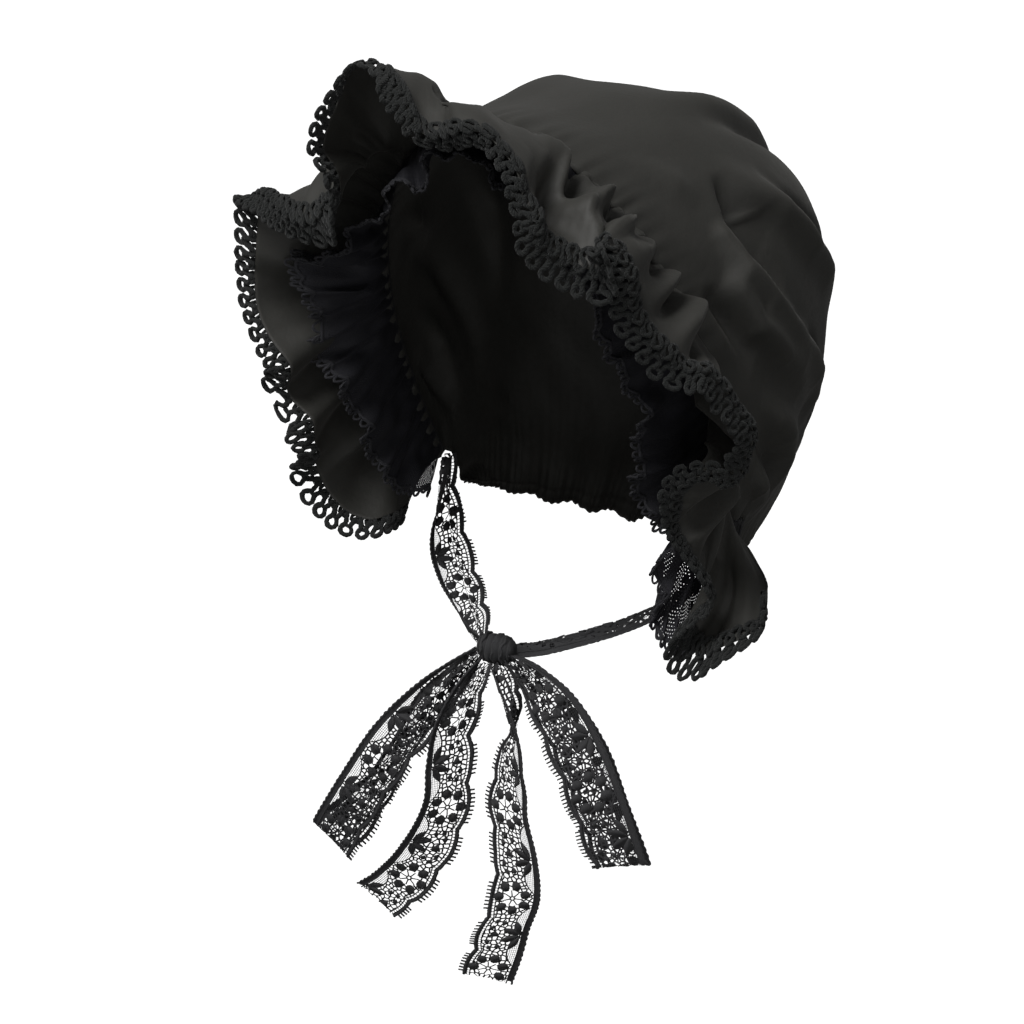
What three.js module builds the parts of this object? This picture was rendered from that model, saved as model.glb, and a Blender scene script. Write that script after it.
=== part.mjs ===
import * as THREE from "three";
import { mergeVertices } from "three/addons/utils/BufferGeometryUtils.js";

/*
Black cotton bonnet with a gathered brim ruffle, a picot loop trim round its free
edge, a lace frill inside the brim, and lace ribbon ties tied in a bow.

Millimetres, +Z up, the brim faces -Y, the wearer's left is +X. The origin is on
the inside of the crown at its top, straight above the line through the two lower
corners. That line is called the corner line.

Cloth is a closed sheet: a box with segments, each of whose points is put on a
curved surface and moved half the thickness along the surface's normal.
"along" runs from 0 at the wearer's right corner, over the crown, to 1 at the left.
"sweep" is an angle in degrees about the corner line, 0 straight back, 90 up.
*/

// cloth and lace, all millimetres
const COTTON_THICKNESS = 1.2;
const LACE_THICKNESS = 1.0;
const TRIM_THICKNESS = 1.8;
const PIECE_GAP = 0.4;
const TRIM_GAP = 1.1;

// crown
const CORNER_DROP = 213;
const SEAM_SWEEP = 113;
const NECK_SWEEP = -25;
const CORNER_SHARE = 0.07;
const CROWN_COLUMNS = 38;
const CROWN_ROWS = 21;

// One row for each section of the crown cut by a plane through the corner line.
// reach is from the corner line to the top of the section, side is half its width
// at the height of the belt, foot half its width at the corner line, square how
// full its shoulders are, 2 being an ellipse.
const CROWN_SECTIONS = [
  { sweep: 113, reach: 240, side: 85, belt: 88, foot: 76, square: 1.95 },
  { sweep: 101, reach: 218.5, side: 91, belt: 91, foot: 76, square: 2.1 },
  { sweep: 90, reach: 213.6, side: 94, belt: 92, foot: 76, square: 2.3 },
  { sweep: 72, reach: 204, side: 96, belt: 92, foot: 76, square: 2.5 },
  { sweep: 52, reach: 190, side: 93, belt: 84, foot: 76, square: 2.5 },
  { sweep: 32, reach: 157, side: 87, belt: 70, foot: 75, square: 2.3 },
  { sweep: 12, reach: 120, side: 80, belt: 52, foot: 74, square: 2.15 },
  { sweep: -8, reach: 90, side: 75, belt: 34, foot: 73, square: 2.0 },
  { sweep: -25, reach: 74, side: 72, belt: 24, foot: 71, square: 2.0 },
];

// Folds of the crown, each a straight ridge on the flat pattern. height is how far
// the cloth stands out there, less than 0 for a dent, width half the fold's width.
const CROWN_FOLDS = [
  { fromAlong: 0.66, fromSweep: 96, toAlong: 0.72, toSweep: 58, height: 4, width: 12 },
  { fromAlong: 0.70, fromSweep: 84, toAlong: 0.76, toSweep: 54, height: -6, width: 11 },
  { fromAlong: 0.71, fromSweep: 96, toAlong: 0.82, toSweep: 76, height: 5, width: 11 },
  { fromAlong: 0.83, fromSweep: 72, toAlong: 0.86, toSweep: 42, height: -12, width: 12 },
  { fromAlong: 0.90, fromSweep: 84, toAlong: 0.92, toSweep: 40, height: 4, width: 13 },
  { fromAlong: 0.57, fromSweep: 76, toAlong: 0.61, toSweep: 40, height: -4, width: 13 },
  { fromAlong: 0.50, fromSweep: 70, toAlong: 0.52, toSweep: 20, height: 3, width: 15 },
  { fromAlong: 0.36, fromSweep: 92, toAlong: 0.28, toSweep: 50, height: 4, width: 14 },
  { fromAlong: 0.30, fromSweep: 80, toAlong: 0.20, toSweep: 45, height: -5, width: 13 },
  { fromAlong: 0.22, fromSweep: 95, toAlong: 0.12, toSweep: 40, height: 4, width: 13 },
];
const FOLD_MM_PER_ALONG = 480;
const FOLD_MM_PER_DEGREE = 3.2;

// gathers that the neck edge is drawn up into
const NECK_GATHERS = 11;
const NECK_GATHER_DEPTH = 3.5;
const NECK_GATHER_SPAN = 0.3;

// ruffle, its trim and the lace frill inside it
const RUFFLE_COLUMNS = 96;
const RUFFLE_ROWS = 4;
const TRIM_CELLS = 115;
const TRIM_WIDTH = 12;
const TRIM_BAND = 4.2;
const TRIM_SHOULDER = 0.66;
const TRIM_HOLE_AT = 7.4;
const TRIM_HOLE_ALONG = 0.23;
const TRIM_HOLE_ACROSS = 2.3;
const FRILL_COLUMNS = 72;
const FRILL_ROWS = 2;
const FRILL_INSET = 1.6;
const SWING_BLEND = 0.12;
const EDGE_SAMPLES = 1200;

// Where the edge of the ruffle stands, seen from the seam: reach is the straight
// distance from the seam to the tip of the trim, flare the angle outward from
// straight forward, swing the angle toward the wearer's left corner.
const RUFFLE_ROWS_ALONG = [
  { along: 0.000, reach: 44, flare: -6, swing: -4 },
  { along: 0.015, reach: 64, flare: -8, swing: 0 },
  { along: 0.040, reach: 75, flare: 4, swing: -2 },
  { along: 0.070, reach: 76, flare: 18, swing: 2 },
  { along: 0.095, reach: 76, flare: 6, swing: 8 },
  { along: 0.120, reach: 76, flare: 8, swing: 12 },
  { along: 0.145, reach: 76, flare: 17, swing: 9 },
  { along: 0.170, reach: 76, flare: 16, swing: 14 },
  { along: 0.195, reach: 76, flare: 32, swing: 15 },
  { along: 0.220, reach: 76, flare: 47, swing: 21 },
  { along: 0.245, reach: 76, flare: 58, swing: 27 },
  { along: 0.270, reach: 76, flare: 56, swing: 29 },
  { along: 0.280, reach: 76, flare: 48, swing: 31 },
  { along: 0.290, reach: 76, flare: 36, swing: 31 },
  { along: 0.300, reach: 76, flare: 25, swing: 27 },
  { along: 0.310, reach: 76, flare: 16, swing: 22 },
  { along: 0.320, reach: 76, flare: 9, swing: 18 },
  { along: 0.330, reach: 76, flare: 4, swing: 17 },
  { along: 0.340, reach: 76, flare: 2, swing: 20 },
  { along: 0.348, reach: 76, flare: 3, swing: 26 },
  { along: 0.355, reach: 76, flare: 7, swing: 31 },
  { along: 0.362, reach: 76, flare: 17, swing: 35 },
  { along: 0.370, reach: 76, flare: 28, swing: 37 },
  { along: 0.377, reach: 76, flare: 38, swing: 41 },
  { along: 0.385, reach: 76, flare: 46, swing: 46 },
  { along: 0.400, reach: 77, flare: 54, swing: 51 },
  { along: 0.408, reach: 76, flare: 48, swing: 53 },
  { along: 0.415, reach: 76, flare: 38, swing: 53 },
  { along: 0.422, reach: 76, flare: 26, swing: 49 },
  { along: 0.430, reach: 76, flare: 15, swing: 43 },
  { along: 0.438, reach: 76, flare: 8, swing: 39 },
  { along: 0.446, reach: 76, flare: 5, swing: 37 },
  { along: 0.460, reach: 76, flare: 5, swing: 38 },
  { along: 0.475, reach: 76, flare: 11, swing: 38 },
  { along: 0.490, reach: 76, flare: 17, swing: 36 },
  { along: 0.505, reach: 76, flare: 23, swing: 33 },
  { along: 0.520, reach: 76, flare: 26, swing: 27 },
  { along: 0.535, reach: 76, flare: 25, swing: 21 },
  { along: 0.550, reach: 76, flare: 21, swing: 17 },
  { along: 0.560, reach: 76, flare: 19, swing: 15 },
  { along: 0.570, reach: 76, flare: 18, swing: 14 },
  { along: 0.580, reach: 76, flare: 17, swing: 14 },
  { along: 0.590, reach: 76, flare: 17, swing: 15 },
  { along: 0.600, reach: 76, flare: 19, swing: 17 },
  { along: 0.608, reach: 76, flare: 21, swing: 19 },
  { along: 0.616, reach: 76, flare: 25, swing: 13 },
  { along: 0.624, reach: 76, flare: 30, swing: 0 },
  { along: 0.632, reach: 76, flare: 32, swing: -11 },
  { along: 0.640, reach: 76, flare: 34, swing: -16 },
  { along: 0.650, reach: 76, flare: 34, swing: -17 },
  { along: 0.660, reach: 76, flare: 33, swing: -15 },
  { along: 0.670, reach: 76, flare: 30, swing: -12 },
  { along: 0.680, reach: 76, flare: 26, swing: -10 },
  { along: 0.690, reach: 76, flare: 23, swing: -8 },
  { along: 0.700, reach: 76, flare: 23, swing: -6 },
  { along: 0.715, reach: 76, flare: 24, swing: -3 },
  { along: 0.730, reach: 76, flare: 29, swing: -3 },
  { along: 0.745, reach: 76, flare: 36, swing: -7 },
  { along: 0.760, reach: 76, flare: 41, swing: -11 },
  { along: 0.775, reach: 76, flare: 44, swing: -12 },
  { along: 0.790, reach: 76, flare: 46, swing: -12 },
  { along: 0.825, reach: 76, flare: 47, swing: -8 },
  { along: 0.850, reach: 76, flare: 38, swing: -10 },
  { along: 0.870, reach: 76, flare: 22, swing: -17 },
  { along: 0.890, reach: 76, flare: 8, swing: -19 },
  { along: 0.910, reach: 76, flare: 7, swing: -15 },
  { along: 0.930, reach: 76, flare: 15, swing: -10 },
  { along: 0.945, reach: 76, flare: 18, swing: -2 },
  { along: 0.958, reach: 78, flare: 13, swing: 8 },
  { along: 0.968, reach: 80, flare: 5, swing: 16 },
  { along: 0.977, reach: 80, flare: 11, swing: 11 },
  { along: 0.985, reach: 79, flare: 22, swing: -1 },
  { along: 0.992, reach: 76, flare: 33, swing: -9 },
  { along: 1.000, reach: 66, flare: 41, swing: -19 },
];

// The same columns for the lace frill, whose reach ends at its scalloped edge.
const FRILL_ROWS_ALONG = [
  { along: 0.000, reach: 30, flare: -22, swing: 0 },
  { along: 0.040, reach: 46, flare: -18, swing: -2 },
  { along: 0.080, reach: 50, flare: -10, swing: 4 },
  { along: 0.120, reach: 50, flare: -14, swing: 8 },
  { along: 0.160, reach: 50, flare: -4, swing: 8 },
  { along: 0.190, reach: 50, flare: 12, swing: 10 },
  { along: 0.215, reach: 50, flare: 8, swing: 15 },
  { along: 0.245, reach: 52, flare: 40, swing: 22 },
  { along: 0.260, reach: 50, flare: 27, swing: 28 },
  { along: 0.275, reach: 50, flare: 8, swing: 29 },
  { along: 0.290, reach: 50, flare: 1, swing: 31 },
  { along: 0.310, reach: 50, flare: -3, swing: 35 },
  { along: 0.330, reach: 50, flare: -10, swing: 36 },
  { along: 0.350, reach: 50, flare: -15, swing: 37 },
  { along: 0.385, reach: 47, flare: -8, swing: 37 },
  { along: 0.420, reach: 44, flare: -12, swing: 30 },
  { along: 0.450, reach: 40, flare: 2, swing: 28 },
  { along: 0.480, reach: 38, flare: 14, swing: 22 },
  { along: 0.520, reach: 38, flare: 12, swing: 14 },
  { along: 0.560, reach: 38, flare: 12, swing: 12 },
  { along: 0.600, reach: 40, flare: 8, swing: 8 },
  { along: 0.640, reach: 42, flare: 2, swing: -4 },
  { along: 0.690, reach: 44, flare: -4, swing: -5 },
  { along: 0.740, reach: 46, flare: -14, swing: -8 },
  { along: 0.790, reach: 46, flare: -6, swing: -10 },
  { along: 0.830, reach: 48, flare: -12, swing: -12 },
  { along: 0.860, reach: 50, flare: -18, swing: -14 },
  { along: 0.880, reach: 50, flare: -23, swing: -9 },
  { along: 0.897, reach: 50, flare: -25, swing: 3 },
  { along: 0.912, reach: 49, flare: -18, swing: 6 },
  { along: 0.930, reach: 50, flare: -6, swing: 8 },
  { along: 0.945, reach: 55, flare: -8, swing: 24 },
  { along: 0.960, reach: 62, flare: -10, swing: 32 },
  { along: 0.975, reach: 64, flare: -2, swing: 34 },
  { along: 0.987, reach: 56, flare: 8, swing: 34 },
  { along: 1.000, reach: 36, flare: 2, swing: 22 },
];

// Flare of the cloth where it leaves the seam, before it curves to its edge, and how
// far it bulges that way on its path.
const RUFFLE_ROOT = [
  { along: 0.00, flare: 10, bulge: 1 },
  { along: 0.10, flare: 20, bulge: 1 },
  { along: 0.20, flare: 34, bulge: 1 },
  { along: 0.26, flare: 46, bulge: 1 },
  { along: 0.29, flare: 76, bulge: 1.35 },
  { along: 0.32, flare: 80, bulge: 1.35 },
  { along: 0.345, flare: 62, bulge: 1.1 },
  { along: 0.37, flare: 54, bulge: 1 },
  { along: 0.40, flare: 78, bulge: 1.25 },
  { along: 0.43, flare: 98, bulge: 1.8 },
  { along: 0.455, flare: 94, bulge: 1.85 },
  { along: 0.48, flare: 68, bulge: 1.35 },
  { along: 0.51, flare: 60, bulge: 1.2 },
  { along: 0.56, flare: 50, bulge: 1.1 },
  { along: 0.66, flare: 50, bulge: 1.1 },
  { along: 0.74, flare: 54, bulge: 1.1 },
  { along: 0.80, flare: 58, bulge: 1 },
  { along: 0.87, flare: 42, bulge: 1 },
  { along: 0.93, flare: 30, bulge: 1 },
  { along: 0.97, flare: 34, bulge: 1.2 },
  { along: 0.99, flare: 50, bulge: 1.5 },
  { along: 1.00, flare: 56, bulge: 1.6 },
];
const FRILL_ROOT = [
  { along: 0.0, flare: -16, bulge: 1 },
  { along: 0.5, flare: -6, bulge: 1 },
  { along: 1.0, flare: -12, bulge: 1 },
];

// ribbons
const RIBBON_WIDTH = 25.5;
const RIBBON_ACROSS = 2;
const RIBBON_STEPS = 18;

// Ribbon centre lines. turn and rise give the direction across the ribbon, turn
// from +X toward +Y, rise as an angle up. share is the width there as a part of
// the full width, less where the ribbon is sewn down or drawn into the knot.
const TIE_LEFT_ROWS = [
  { x: 78.9, y: 2, z: -201, turn: 79, rise: 0, share: 0.4 },
  { x: 77, y: -2, z: -212, turn: 86, rise: -2, share: 0.5 },
  { x: 72, y: -9, z: -225, turn: 100, rise: -6, share: 0.75 },
  { x: 61, y: -21, z: -237, turn: 112, rise: -10, share: 0.95 },
  { x: 46, y: -36, z: -246, turn: 118, rise: -13, share: 0.95 },
  { x: 28, y: -52, z: -252, turn: 122, rise: -14, share: 0.75 },
  { x: 14, y: -65, z: -255, turn: 126, rise: -12, share: 0.45 },
  { x: 3.2, y: -73.2, z: -256.2, turn: 130, rise: -8, share: 0.2 },
];
const TIE_RIGHT_ROWS = [
  { x: -78.9, y: 2, z: -201, turn: 101, rise: 0, share: 0.4 },
  { x: -77.5, y: -2, z: -212, turn: 94, rise: -2, share: 0.5 },
  { x: -74, y: -9, z: -225, turn: 80, rise: -6, share: 0.75 },
  { x: -65, y: -21, z: -237, turn: 68, rise: -10, share: 0.95 },
  { x: -51, y: -36, z: -246, turn: 62, rise: -13, share: 0.95 },
  { x: -35, y: -52, z: -252, turn: 58, rise: -14, share: 0.75 },
  { x: -23, y: -65, z: -255, turn: 54, rise: -12, share: 0.45 },
  { x: -13.2, y: -73.2, z: -256.2, turn: 50, rise: -8, share: 0.2 },
];
const LOOP_LEFT_ROWS = [
  { x: 3.3, y: -80.8, z: -257.3, turn: 52, rise: 50, share: 0.22 },
  { x: 17, y: -84, z: -263, turn: 48, rise: 44, share: 0.55 },
  { x: 33, y: -88, z: -274, turn: 44, rise: 34, share: 0.9 },
  { x: 49, y: -92, z: -294, turn: 41, rise: 25, share: 1.0 },
  { x: 62, y: -95, z: -318, turn: 36, rise: 16, share: 1.0 },
  { x: 71, y: -95.5, z: -339, turn: 31, rise: 5, share: 1.0 },
  { x: 72.5, y: -93, z: -343, turn: 30, rise: 2, share: 1.0 },
  { x: 70, y: -89.5, z: -342, turn: 31, rise: 4, share: 1.0 },
  { x: 58, y: -86, z: -322, turn: 35, rise: 14, share: 1.0 },
  { x: 45, y: -82, z: -299, turn: 40, rise: 24, share: 1.0 },
  { x: 29, y: -79, z: -279, turn: 44, rise: 34, share: 0.85 },
  { x: 15, y: -77, z: -266, turn: 48, rise: 44, share: 0.5 },
  { x: 6.5, y: -76, z: -260, turn: 52, rise: 50, share: 0.2 },
];
const LOOP_RIGHT_ROWS = [
  { x: -13.2, y: -80.4, z: -257.7, turn: 12, rise: -50, share: 0.22 },
  { x: -22, y: -87, z: -269, turn: 12, rise: -46, share: 0.55 },
  { x: -34, y: -93, z: -286, turn: 13, rise: -42, share: 0.9 },
  { x: -49, y: -100, z: -307, turn: 14, rise: -38, share: 1 },
  { x: -63, y: -106, z: -332, turn: 15, rise: -40, share: 1 },
  { x: -78, y: -110, z: -360, turn: 17, rise: -46, share: 1 },
  { x: -80.5, y: -108.5, z: -365.5, turn: 17, rise: -47, share: 1 },
  { x: -76.7, y: -104.0, z: -359.2, turn: 24, rise: -46, share: 1 },
  { x: -67.5, y: -99.0, z: -346.6, turn: 58, rise: -44, share: 1 },
  { x: -60.5, y: -93.0, z: -334.8, turn: 84, rise: -42, share: 1 },
  { x: -55.2, y: -88.0, z: -322.0, turn: 92, rise: -40, share: 1 },
  { x: -48.7, y: -84.0, z: -308.6, turn: 90, rise: -40, share: 1 },
  { x: -40.5, y: -81.0, z: -295.4, turn: 70, rise: -44, share: 0.9 },
  { x: -29.9, y: -78.5, z: -281.5, turn: 36, rise: -48, share: 0.6 },
  { x: -16, y: -76.5, z: -261, turn: 12, rise: -52, share: 0.2 },
];
const TAIL_RIGHT_ROWS = [
  { x: -8.5, y: -82.4, z: -261.6, turn: 24, rise: 0, share: 0.28 },
  { x: -12, y: -92, z: -273, turn: 36, rise: 0, share: 0.6 },
  { x: -16, y: -99, z: -290, turn: 56, rise: -2, share: 0.9 },
  { x: -16.5, y: -102, z: -309, turn: 60, rise: -4, share: 1.0 },
  { x: -17, y: -104, z: -329, turn: 56, rise: -8, share: 1.0 },
  { x: -23.5, y: -106, z: -349, turn: 42, rise: -16, share: 1.0 },
  { x: -33, y: -107, z: -367, turn: 30, rise: -28, share: 1.0 },
  { x: -45, y: -107, z: -383, turn: 20, rise: -40, share: 1.0 },
  { x: -57, y: -107, z: -394, turn: 18, rise: -44, share: 1.0 },
];
const TAIL_LEFT_ROWS = [
  { x: -2, y: -82.2, z: -260.5, turn: 40, rise: 0, share: 0.28 },
  { x: 8, y: -88, z: -272, turn: 88, rise: 0, share: 0.55 },
  { x: 12.5, y: -90, z: -285, turn: 116, rise: 0, share: 0.85 },
  { x: 11, y: -91, z: -306, turn: 146, rise: 0, share: 1.0 },
  { x: 10, y: -92, z: -330, turn: 166, rise: 2, share: 1.0 },
  { x: 14.5, y: -93, z: -354, turn: 176, rise: 0, share: 1.0 },
  { x: 14.5, y: -93, z: -377, turn: 188, rise: -4, share: 1.0 },
  { x: 8, y: -93, z: -398, turn: 202, rise: -6, share: 1.0 },
  { x: 3, y: -92, z: -414, turn: 208, rise: 8, share: 1.0 },
  { x: -3, y: -91, z: -431, turn: 210, rise: 14, share: 1.0 },
];

// knot
const KNOT_CENTRE = new THREE.Vector3(-5, -77, -255.5);
const KNOT_HALF = new THREE.Vector3(9.5, 7, 7.5);
const KNOT_WRAPS = 3;
const KNOT_WRAP_DEPTH = 0.05;
const KNOT_ROUND = 14;
const KNOT_STACK = 8;

const DEGREE = Math.PI / 180;

/* Smooth value of one column of a table at a place between its rows. */
function column(rows, key, name, at) {
  const last = rows.length - 1;
  const forward = rows[last][key] > rows[0][key] ? 1 : -1;
  const place = THREE.MathUtils.clamp(at * forward, rows[0][key] * forward, rows[last][key] * forward);
  let i = 0;
  while (i < last - 1 && rows[i + 1][key] * forward < place) i += 1;
  const span = (k) => (rows[k + 1][key] - rows[k][key]) * forward;
  const rise = (k) => (rows[k + 1][name] - rows[k][name]) / span(k);
  const slope = (k) => {
    if (k === 0) return rise(0);
    if (k === last) return rise(last - 1);
    return (rise(k - 1) * span(k) + rise(k) * span(k - 1)) / (span(k - 1) + span(k));
  };
  const h = span(i);
  const t = (place - rows[i][key] * forward) / h;
  const t2 = t * t;
  const t3 = t2 * t;
  return (
    (2 * t3 - 3 * t2 + 1) * rows[i][name] +
    (t3 - 2 * t2 + t) * h * slope(i) +
    (3 * t2 - 2 * t3) * rows[i + 1][name] +
    (t3 - t2) * h * slope(i + 1)
  );
}

/* Mean of one column weighted by how near each row is. */
function average(rows, key, name, at, reach) {
  let sum = 0;
  let weights = 0;
  for (const row of rows) {
    const weight = Math.exp(-(((at - row[key]) / reach) ** 2));
    sum += weight * row[name];
    weights += weight;
  }
  return sum / weights;
}

/* Lengths run along a list of points, starting at 0. */
function runningLengths(points) {
  const lengths = [0];
  for (let i = 1; i < points.length; i += 1) {
    lengths.push(lengths[i - 1] + points[i].distanceTo(points[i - 1]));
  }
  return lengths;
}

/* Where a value falls in a rising list, as an index with a fraction. */
function placeIn(list, value) {
  let low = 0;
  let high = list.length - 1;
  while (high - low > 1) {
    const middle = (low + high) >> 1;
    if (list[middle] <= value) low = middle;
    else high = middle;
  }
  return low + THREE.MathUtils.clamp((value - list[low]) / (list[high] - list[low]), 0, 1);
}

/* Outline of half a crown section from the corner to the top, x against reach. */
const SECTION_POINTS = 40;
function sectionOutline(sweep) {
  const at = (name) => column(CROWN_SECTIONS, "sweep", name, sweep);
  const [reach, side, belt, foot, square] = ["reach", "side", "belt", "foot", "square"].map(at);
  const half = [];
  const start = (CORNER_SHARE * reach) / belt;
  for (let i = 0; i < SECTION_POINTS; i += 1) {
    const q = start + ((1 - start) * i) / (SECTION_POINTS - 1);
    half.push(new THREE.Vector2(foot + (side - foot) * (1 - (1 - q) ** 2), belt * q));
  }
  for (let i = 1; i < SECTION_POINTS; i += 1) {
    const turn = (Math.PI / 2) * (i / (SECTION_POINTS - 1));
    const x = side * Math.max(Math.cos(turn), 0) ** (2 / square);
    half.push(new THREE.Vector2(x, belt + (reach - belt) * Math.sin(turn) ** (2 / square)));
  }
  const right = half.map((p) => new THREE.Vector2(-p.x, p.y));
  return right.concat(half.slice(0, -1).reverse());
}

/* Point on the plain crown, before its folds. */
const outlines = new Map();
function plainCrown(along, sweep) {
  if (!outlines.has(sweep)) {
    const outline = sectionOutline(sweep);
    outlines.set(sweep, { outline, lengths: runningLengths(outline) });
  }
  const { outline, lengths } = outlines.get(sweep);
  const total = lengths[lengths.length - 1];
  const place = placeIn(lengths, along * total);
  const i = Math.min(Math.floor(place), outline.length - 2);
  const spot = outline[i].clone().lerp(outline[i + 1], place - i);
  const angle = sweep * DEGREE;
  return new THREE.Vector3(spot.x, spot.y * Math.cos(angle), spot.y * Math.sin(angle) - CORNER_DROP);
}

/* How far the folds of the crown stand out at a place on it. */
function foldHeight(along, sweep) {
  const spot = new THREE.Vector2(along * FOLD_MM_PER_ALONG, sweep * FOLD_MM_PER_DEGREE);
  let height = 0;
  for (const fold of CROWN_FOLDS) {
    const from = new THREE.Vector2(fold.fromAlong * FOLD_MM_PER_ALONG, fold.fromSweep * FOLD_MM_PER_DEGREE);
    const to = new THREE.Vector2(fold.toAlong * FOLD_MM_PER_ALONG, fold.toSweep * FOLD_MM_PER_DEGREE);
    const line = to.clone().sub(from);
    const t = THREE.MathUtils.clamp(spot.clone().sub(from).dot(line) / line.lengthSq(), 0, 1);
    const off = spot.distanceTo(from.addScaledVector(line, t));
    height += fold.height * Math.exp(-((off / fold.width) ** 2));
  }
  return height;
}

/* Depth of the neck gathers, which die out up the back of the crown. */
function neckGather(along, down) {
  const near = Math.max(0, 1 - (1 - down) / NECK_GATHER_SPAN);
  const ends = Math.sin(Math.PI * along);
  return NECK_GATHER_DEPTH * near ** 2 * ends * Math.cos(2 * Math.PI * NECK_GATHERS * along);
}

/* Unit normal of a surface at a place on it. */
const STEP = 1e-3;
function normalOf(surface, u, v) {
  const u0 = Math.max(u - STEP, 0);
  const u1 = Math.min(u + STEP, 1);
  const v0 = Math.max(v - STEP, 0);
  const v1 = Math.min(v + STEP, 1);
  const acrossU = surface(u1, v).sub(surface(u0, v));
  const acrossV = surface(u, v1).sub(surface(u, v0));
  return acrossU.cross(acrossV).normalize();
}

/* Crown surface with its folds: u along, v down from the seam to the neck edge. */
function crownSurface(u, v) {
  const sweepAt = (down) => SEAM_SWEEP + (NECK_SWEEP - SEAM_SWEEP) * down;
  const plain = (a, b) => plainCrown(a, sweepAt(b));
  const seamFade = THREE.MathUtils.smoothstep(v, 0, 0.12);
  const lift = foldHeight(u, sweepAt(v)) * seamFade + neckGather(u, v);
  const point = plain(u, v);
  const normal = normalOf(plain, u, v);
  const outward = normal.dot(new THREE.Vector3(point.x, point.y, point.z + CORNER_DROP)) > 0 ? 1 : -1;
  return point.addScaledVector(normal, outward * lift);
}

/* Directions at the seam: forward out of the opening, along it, and outward. */
const FORWARD = new THREE.Vector3(0, -Math.sin(SEAM_SWEEP * DEGREE), Math.cos(SEAM_SWEEP * DEGREE));
const SEAM_STEP = 4e-3;
function seamFrame(along) {
  const before = plainCrown(Math.max(along - SEAM_STEP, 0), SEAM_SWEEP);
  const after = plainCrown(Math.min(along + SEAM_STEP, 1), SEAM_SWEEP);
  const onward = after.sub(before).normalize();
  const outward = onward.clone().cross(FORWARD).normalize();
  const spot = plainCrown(along, SEAM_SWEEP);
  if (outward.dot(new THREE.Vector3(spot.x, spot.y, spot.z + CORNER_DROP)) < 0) outward.negate();
  return { spot, onward, outward };
}

/* Direction given by a flare and a swing, in degrees, at the seam. */
function leaning(frame, flare, swing) {
  const f = flare * DEGREE;
  const s = swing * DEGREE;
  return new THREE.Vector3()
    .addScaledVector(FORWARD, Math.cos(s) * Math.cos(f))
    .addScaledVector(frame.outward, Math.cos(s) * Math.sin(f))
    .addScaledVector(frame.onward, Math.sin(s));
}

/*
A gathered strip sewn in ahead of the crown's edge and inset from it: a function
giving the point at a share of its edge and a distance out from the seam, and the
full reach at that share.
*/
function gatheredStrip(rows, root, ahead, inset) {
  const edge = [];
  for (let i = 0; i <= EDGE_SAMPLES; i += 1) {
    const along = i / EDGE_SAMPLES;
    const frame = seamFrame(along);
    const [reach, flare, swing] = ["reach", "flare", "swing"].map((n) => column(rows, "along", n, along));
    edge.push(frame.spot.clone().addScaledVector(leaning(frame, flare, swing), reach));
  }
  const lengths = runningLengths(edge);
  const total = lengths[lengths.length - 1];
  const alongAt = (u) => placeIn(lengths, u * total) / EDGE_SAMPLES;
  const reachAt = (u) => column(rows, "along", "reach", alongAt(u));
  const pointAt = (u, distance) => {
    const along = alongAt(u);
    const frame = seamFrame(along);
    const [reach, flare, swing] = ["reach", "flare", "swing"].map((n) => column(rows, "along", n, along));
    const [rootFlare, bulge] = ["flare", "bulge"].map((n) => column(root, "along", n, along));
    const rootSwing = average(rows, "along", "swing", along, SWING_BLEND);
    const v = distance / reach;
    return frame.spot
      .addScaledVector(leaning(frame, rootFlare, rootSwing), bulge * reach * v * (1 - v))
      .addScaledVector(leaning(frame, flare, swing), reach * v * v)
      .addScaledVector(FORWARD, ahead)
      .addScaledVector(frame.outward, -inset);
  };
  return { pointAt, reachAt, total };
}

/* Point on a sheet, moved off it along its normal. */
function offSheet(surface, u, v, distance) {
  return surface(u, v).addScaledVector(normalOf(surface, u, v), distance);
}

/*
Unit box whose far side is split along the same diagonals as its near side, so that
the two walls of a thin sheet stay apart where it is twisted. Each of its squares is
kept as the corners a, b, d, b, c, d and becomes a, b, c, a, c, d.
*/
const CORNERS_PER_SQUARE = 6;
function sheetBox(columns, rows) {
  const box = new THREE.BoxGeometry(1, 1, 1, columns, rows, 1);
  const index = box.getIndex();
  const farSide = box.groups[box.groups.length - 1];
  for (let i = farSide.start; i < farSide.start + farSide.count; i += CORNERS_PER_SQUARE) {
    index.setX(i + 2, index.getX(i + 4));
    index.setX(i + 3, index.getX(i));
  }
  return box;
}

/* Closed sheet of cloth over a surface that takes two shares from 0 to 1. */
function clothSheet(surface, thickness, columns, rows) {
  const box = sheetBox(columns, rows);
  box.deleteAttribute("normal");
  box.deleteAttribute("uv");
  const sheet = mergeVertices(box, 1e-6);
  const position = sheet.getAttribute("position");
  for (let i = 0; i < position.count; i += 1) {
    const u = position.getX(i) + 0.5;
    const v = position.getY(i) + 0.5;
    const point = offSheet(surface, u, v, position.getZ(i) * thickness);
    position.setXYZ(i, point.x, point.y, point.z);
  }
  return faceOutward(sheet);
}

/* Signed volume of a closed mesh. */
function volumeOf(geometry) {
  const position = geometry.getAttribute("position");
  const index = geometry.getIndex();
  const corners = [new THREE.Vector3(), new THREE.Vector3(), new THREE.Vector3()];
  let volume = 0;
  for (let i = 0; i < index.count; i += 3) {
    corners.forEach((corner, k) => corner.fromBufferAttribute(position, index.getX(i + k)));
    volume += corners[0].dot(corners[1].clone().cross(corners[2])) / 6;
  }
  return volume;
}

/* The same mesh with its faces turned outward. */
function faceOutward(geometry) {
  if (volumeOf(geometry) < 0) {
    const index = geometry.getIndex();
    for (let i = 0; i < index.count; i += 3) {
      const second = index.getX(i + 1);
      index.setX(i + 1, index.getX(i + 2));
      index.setX(i + 2, second);
    }
  }
  return geometry;
}

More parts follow.
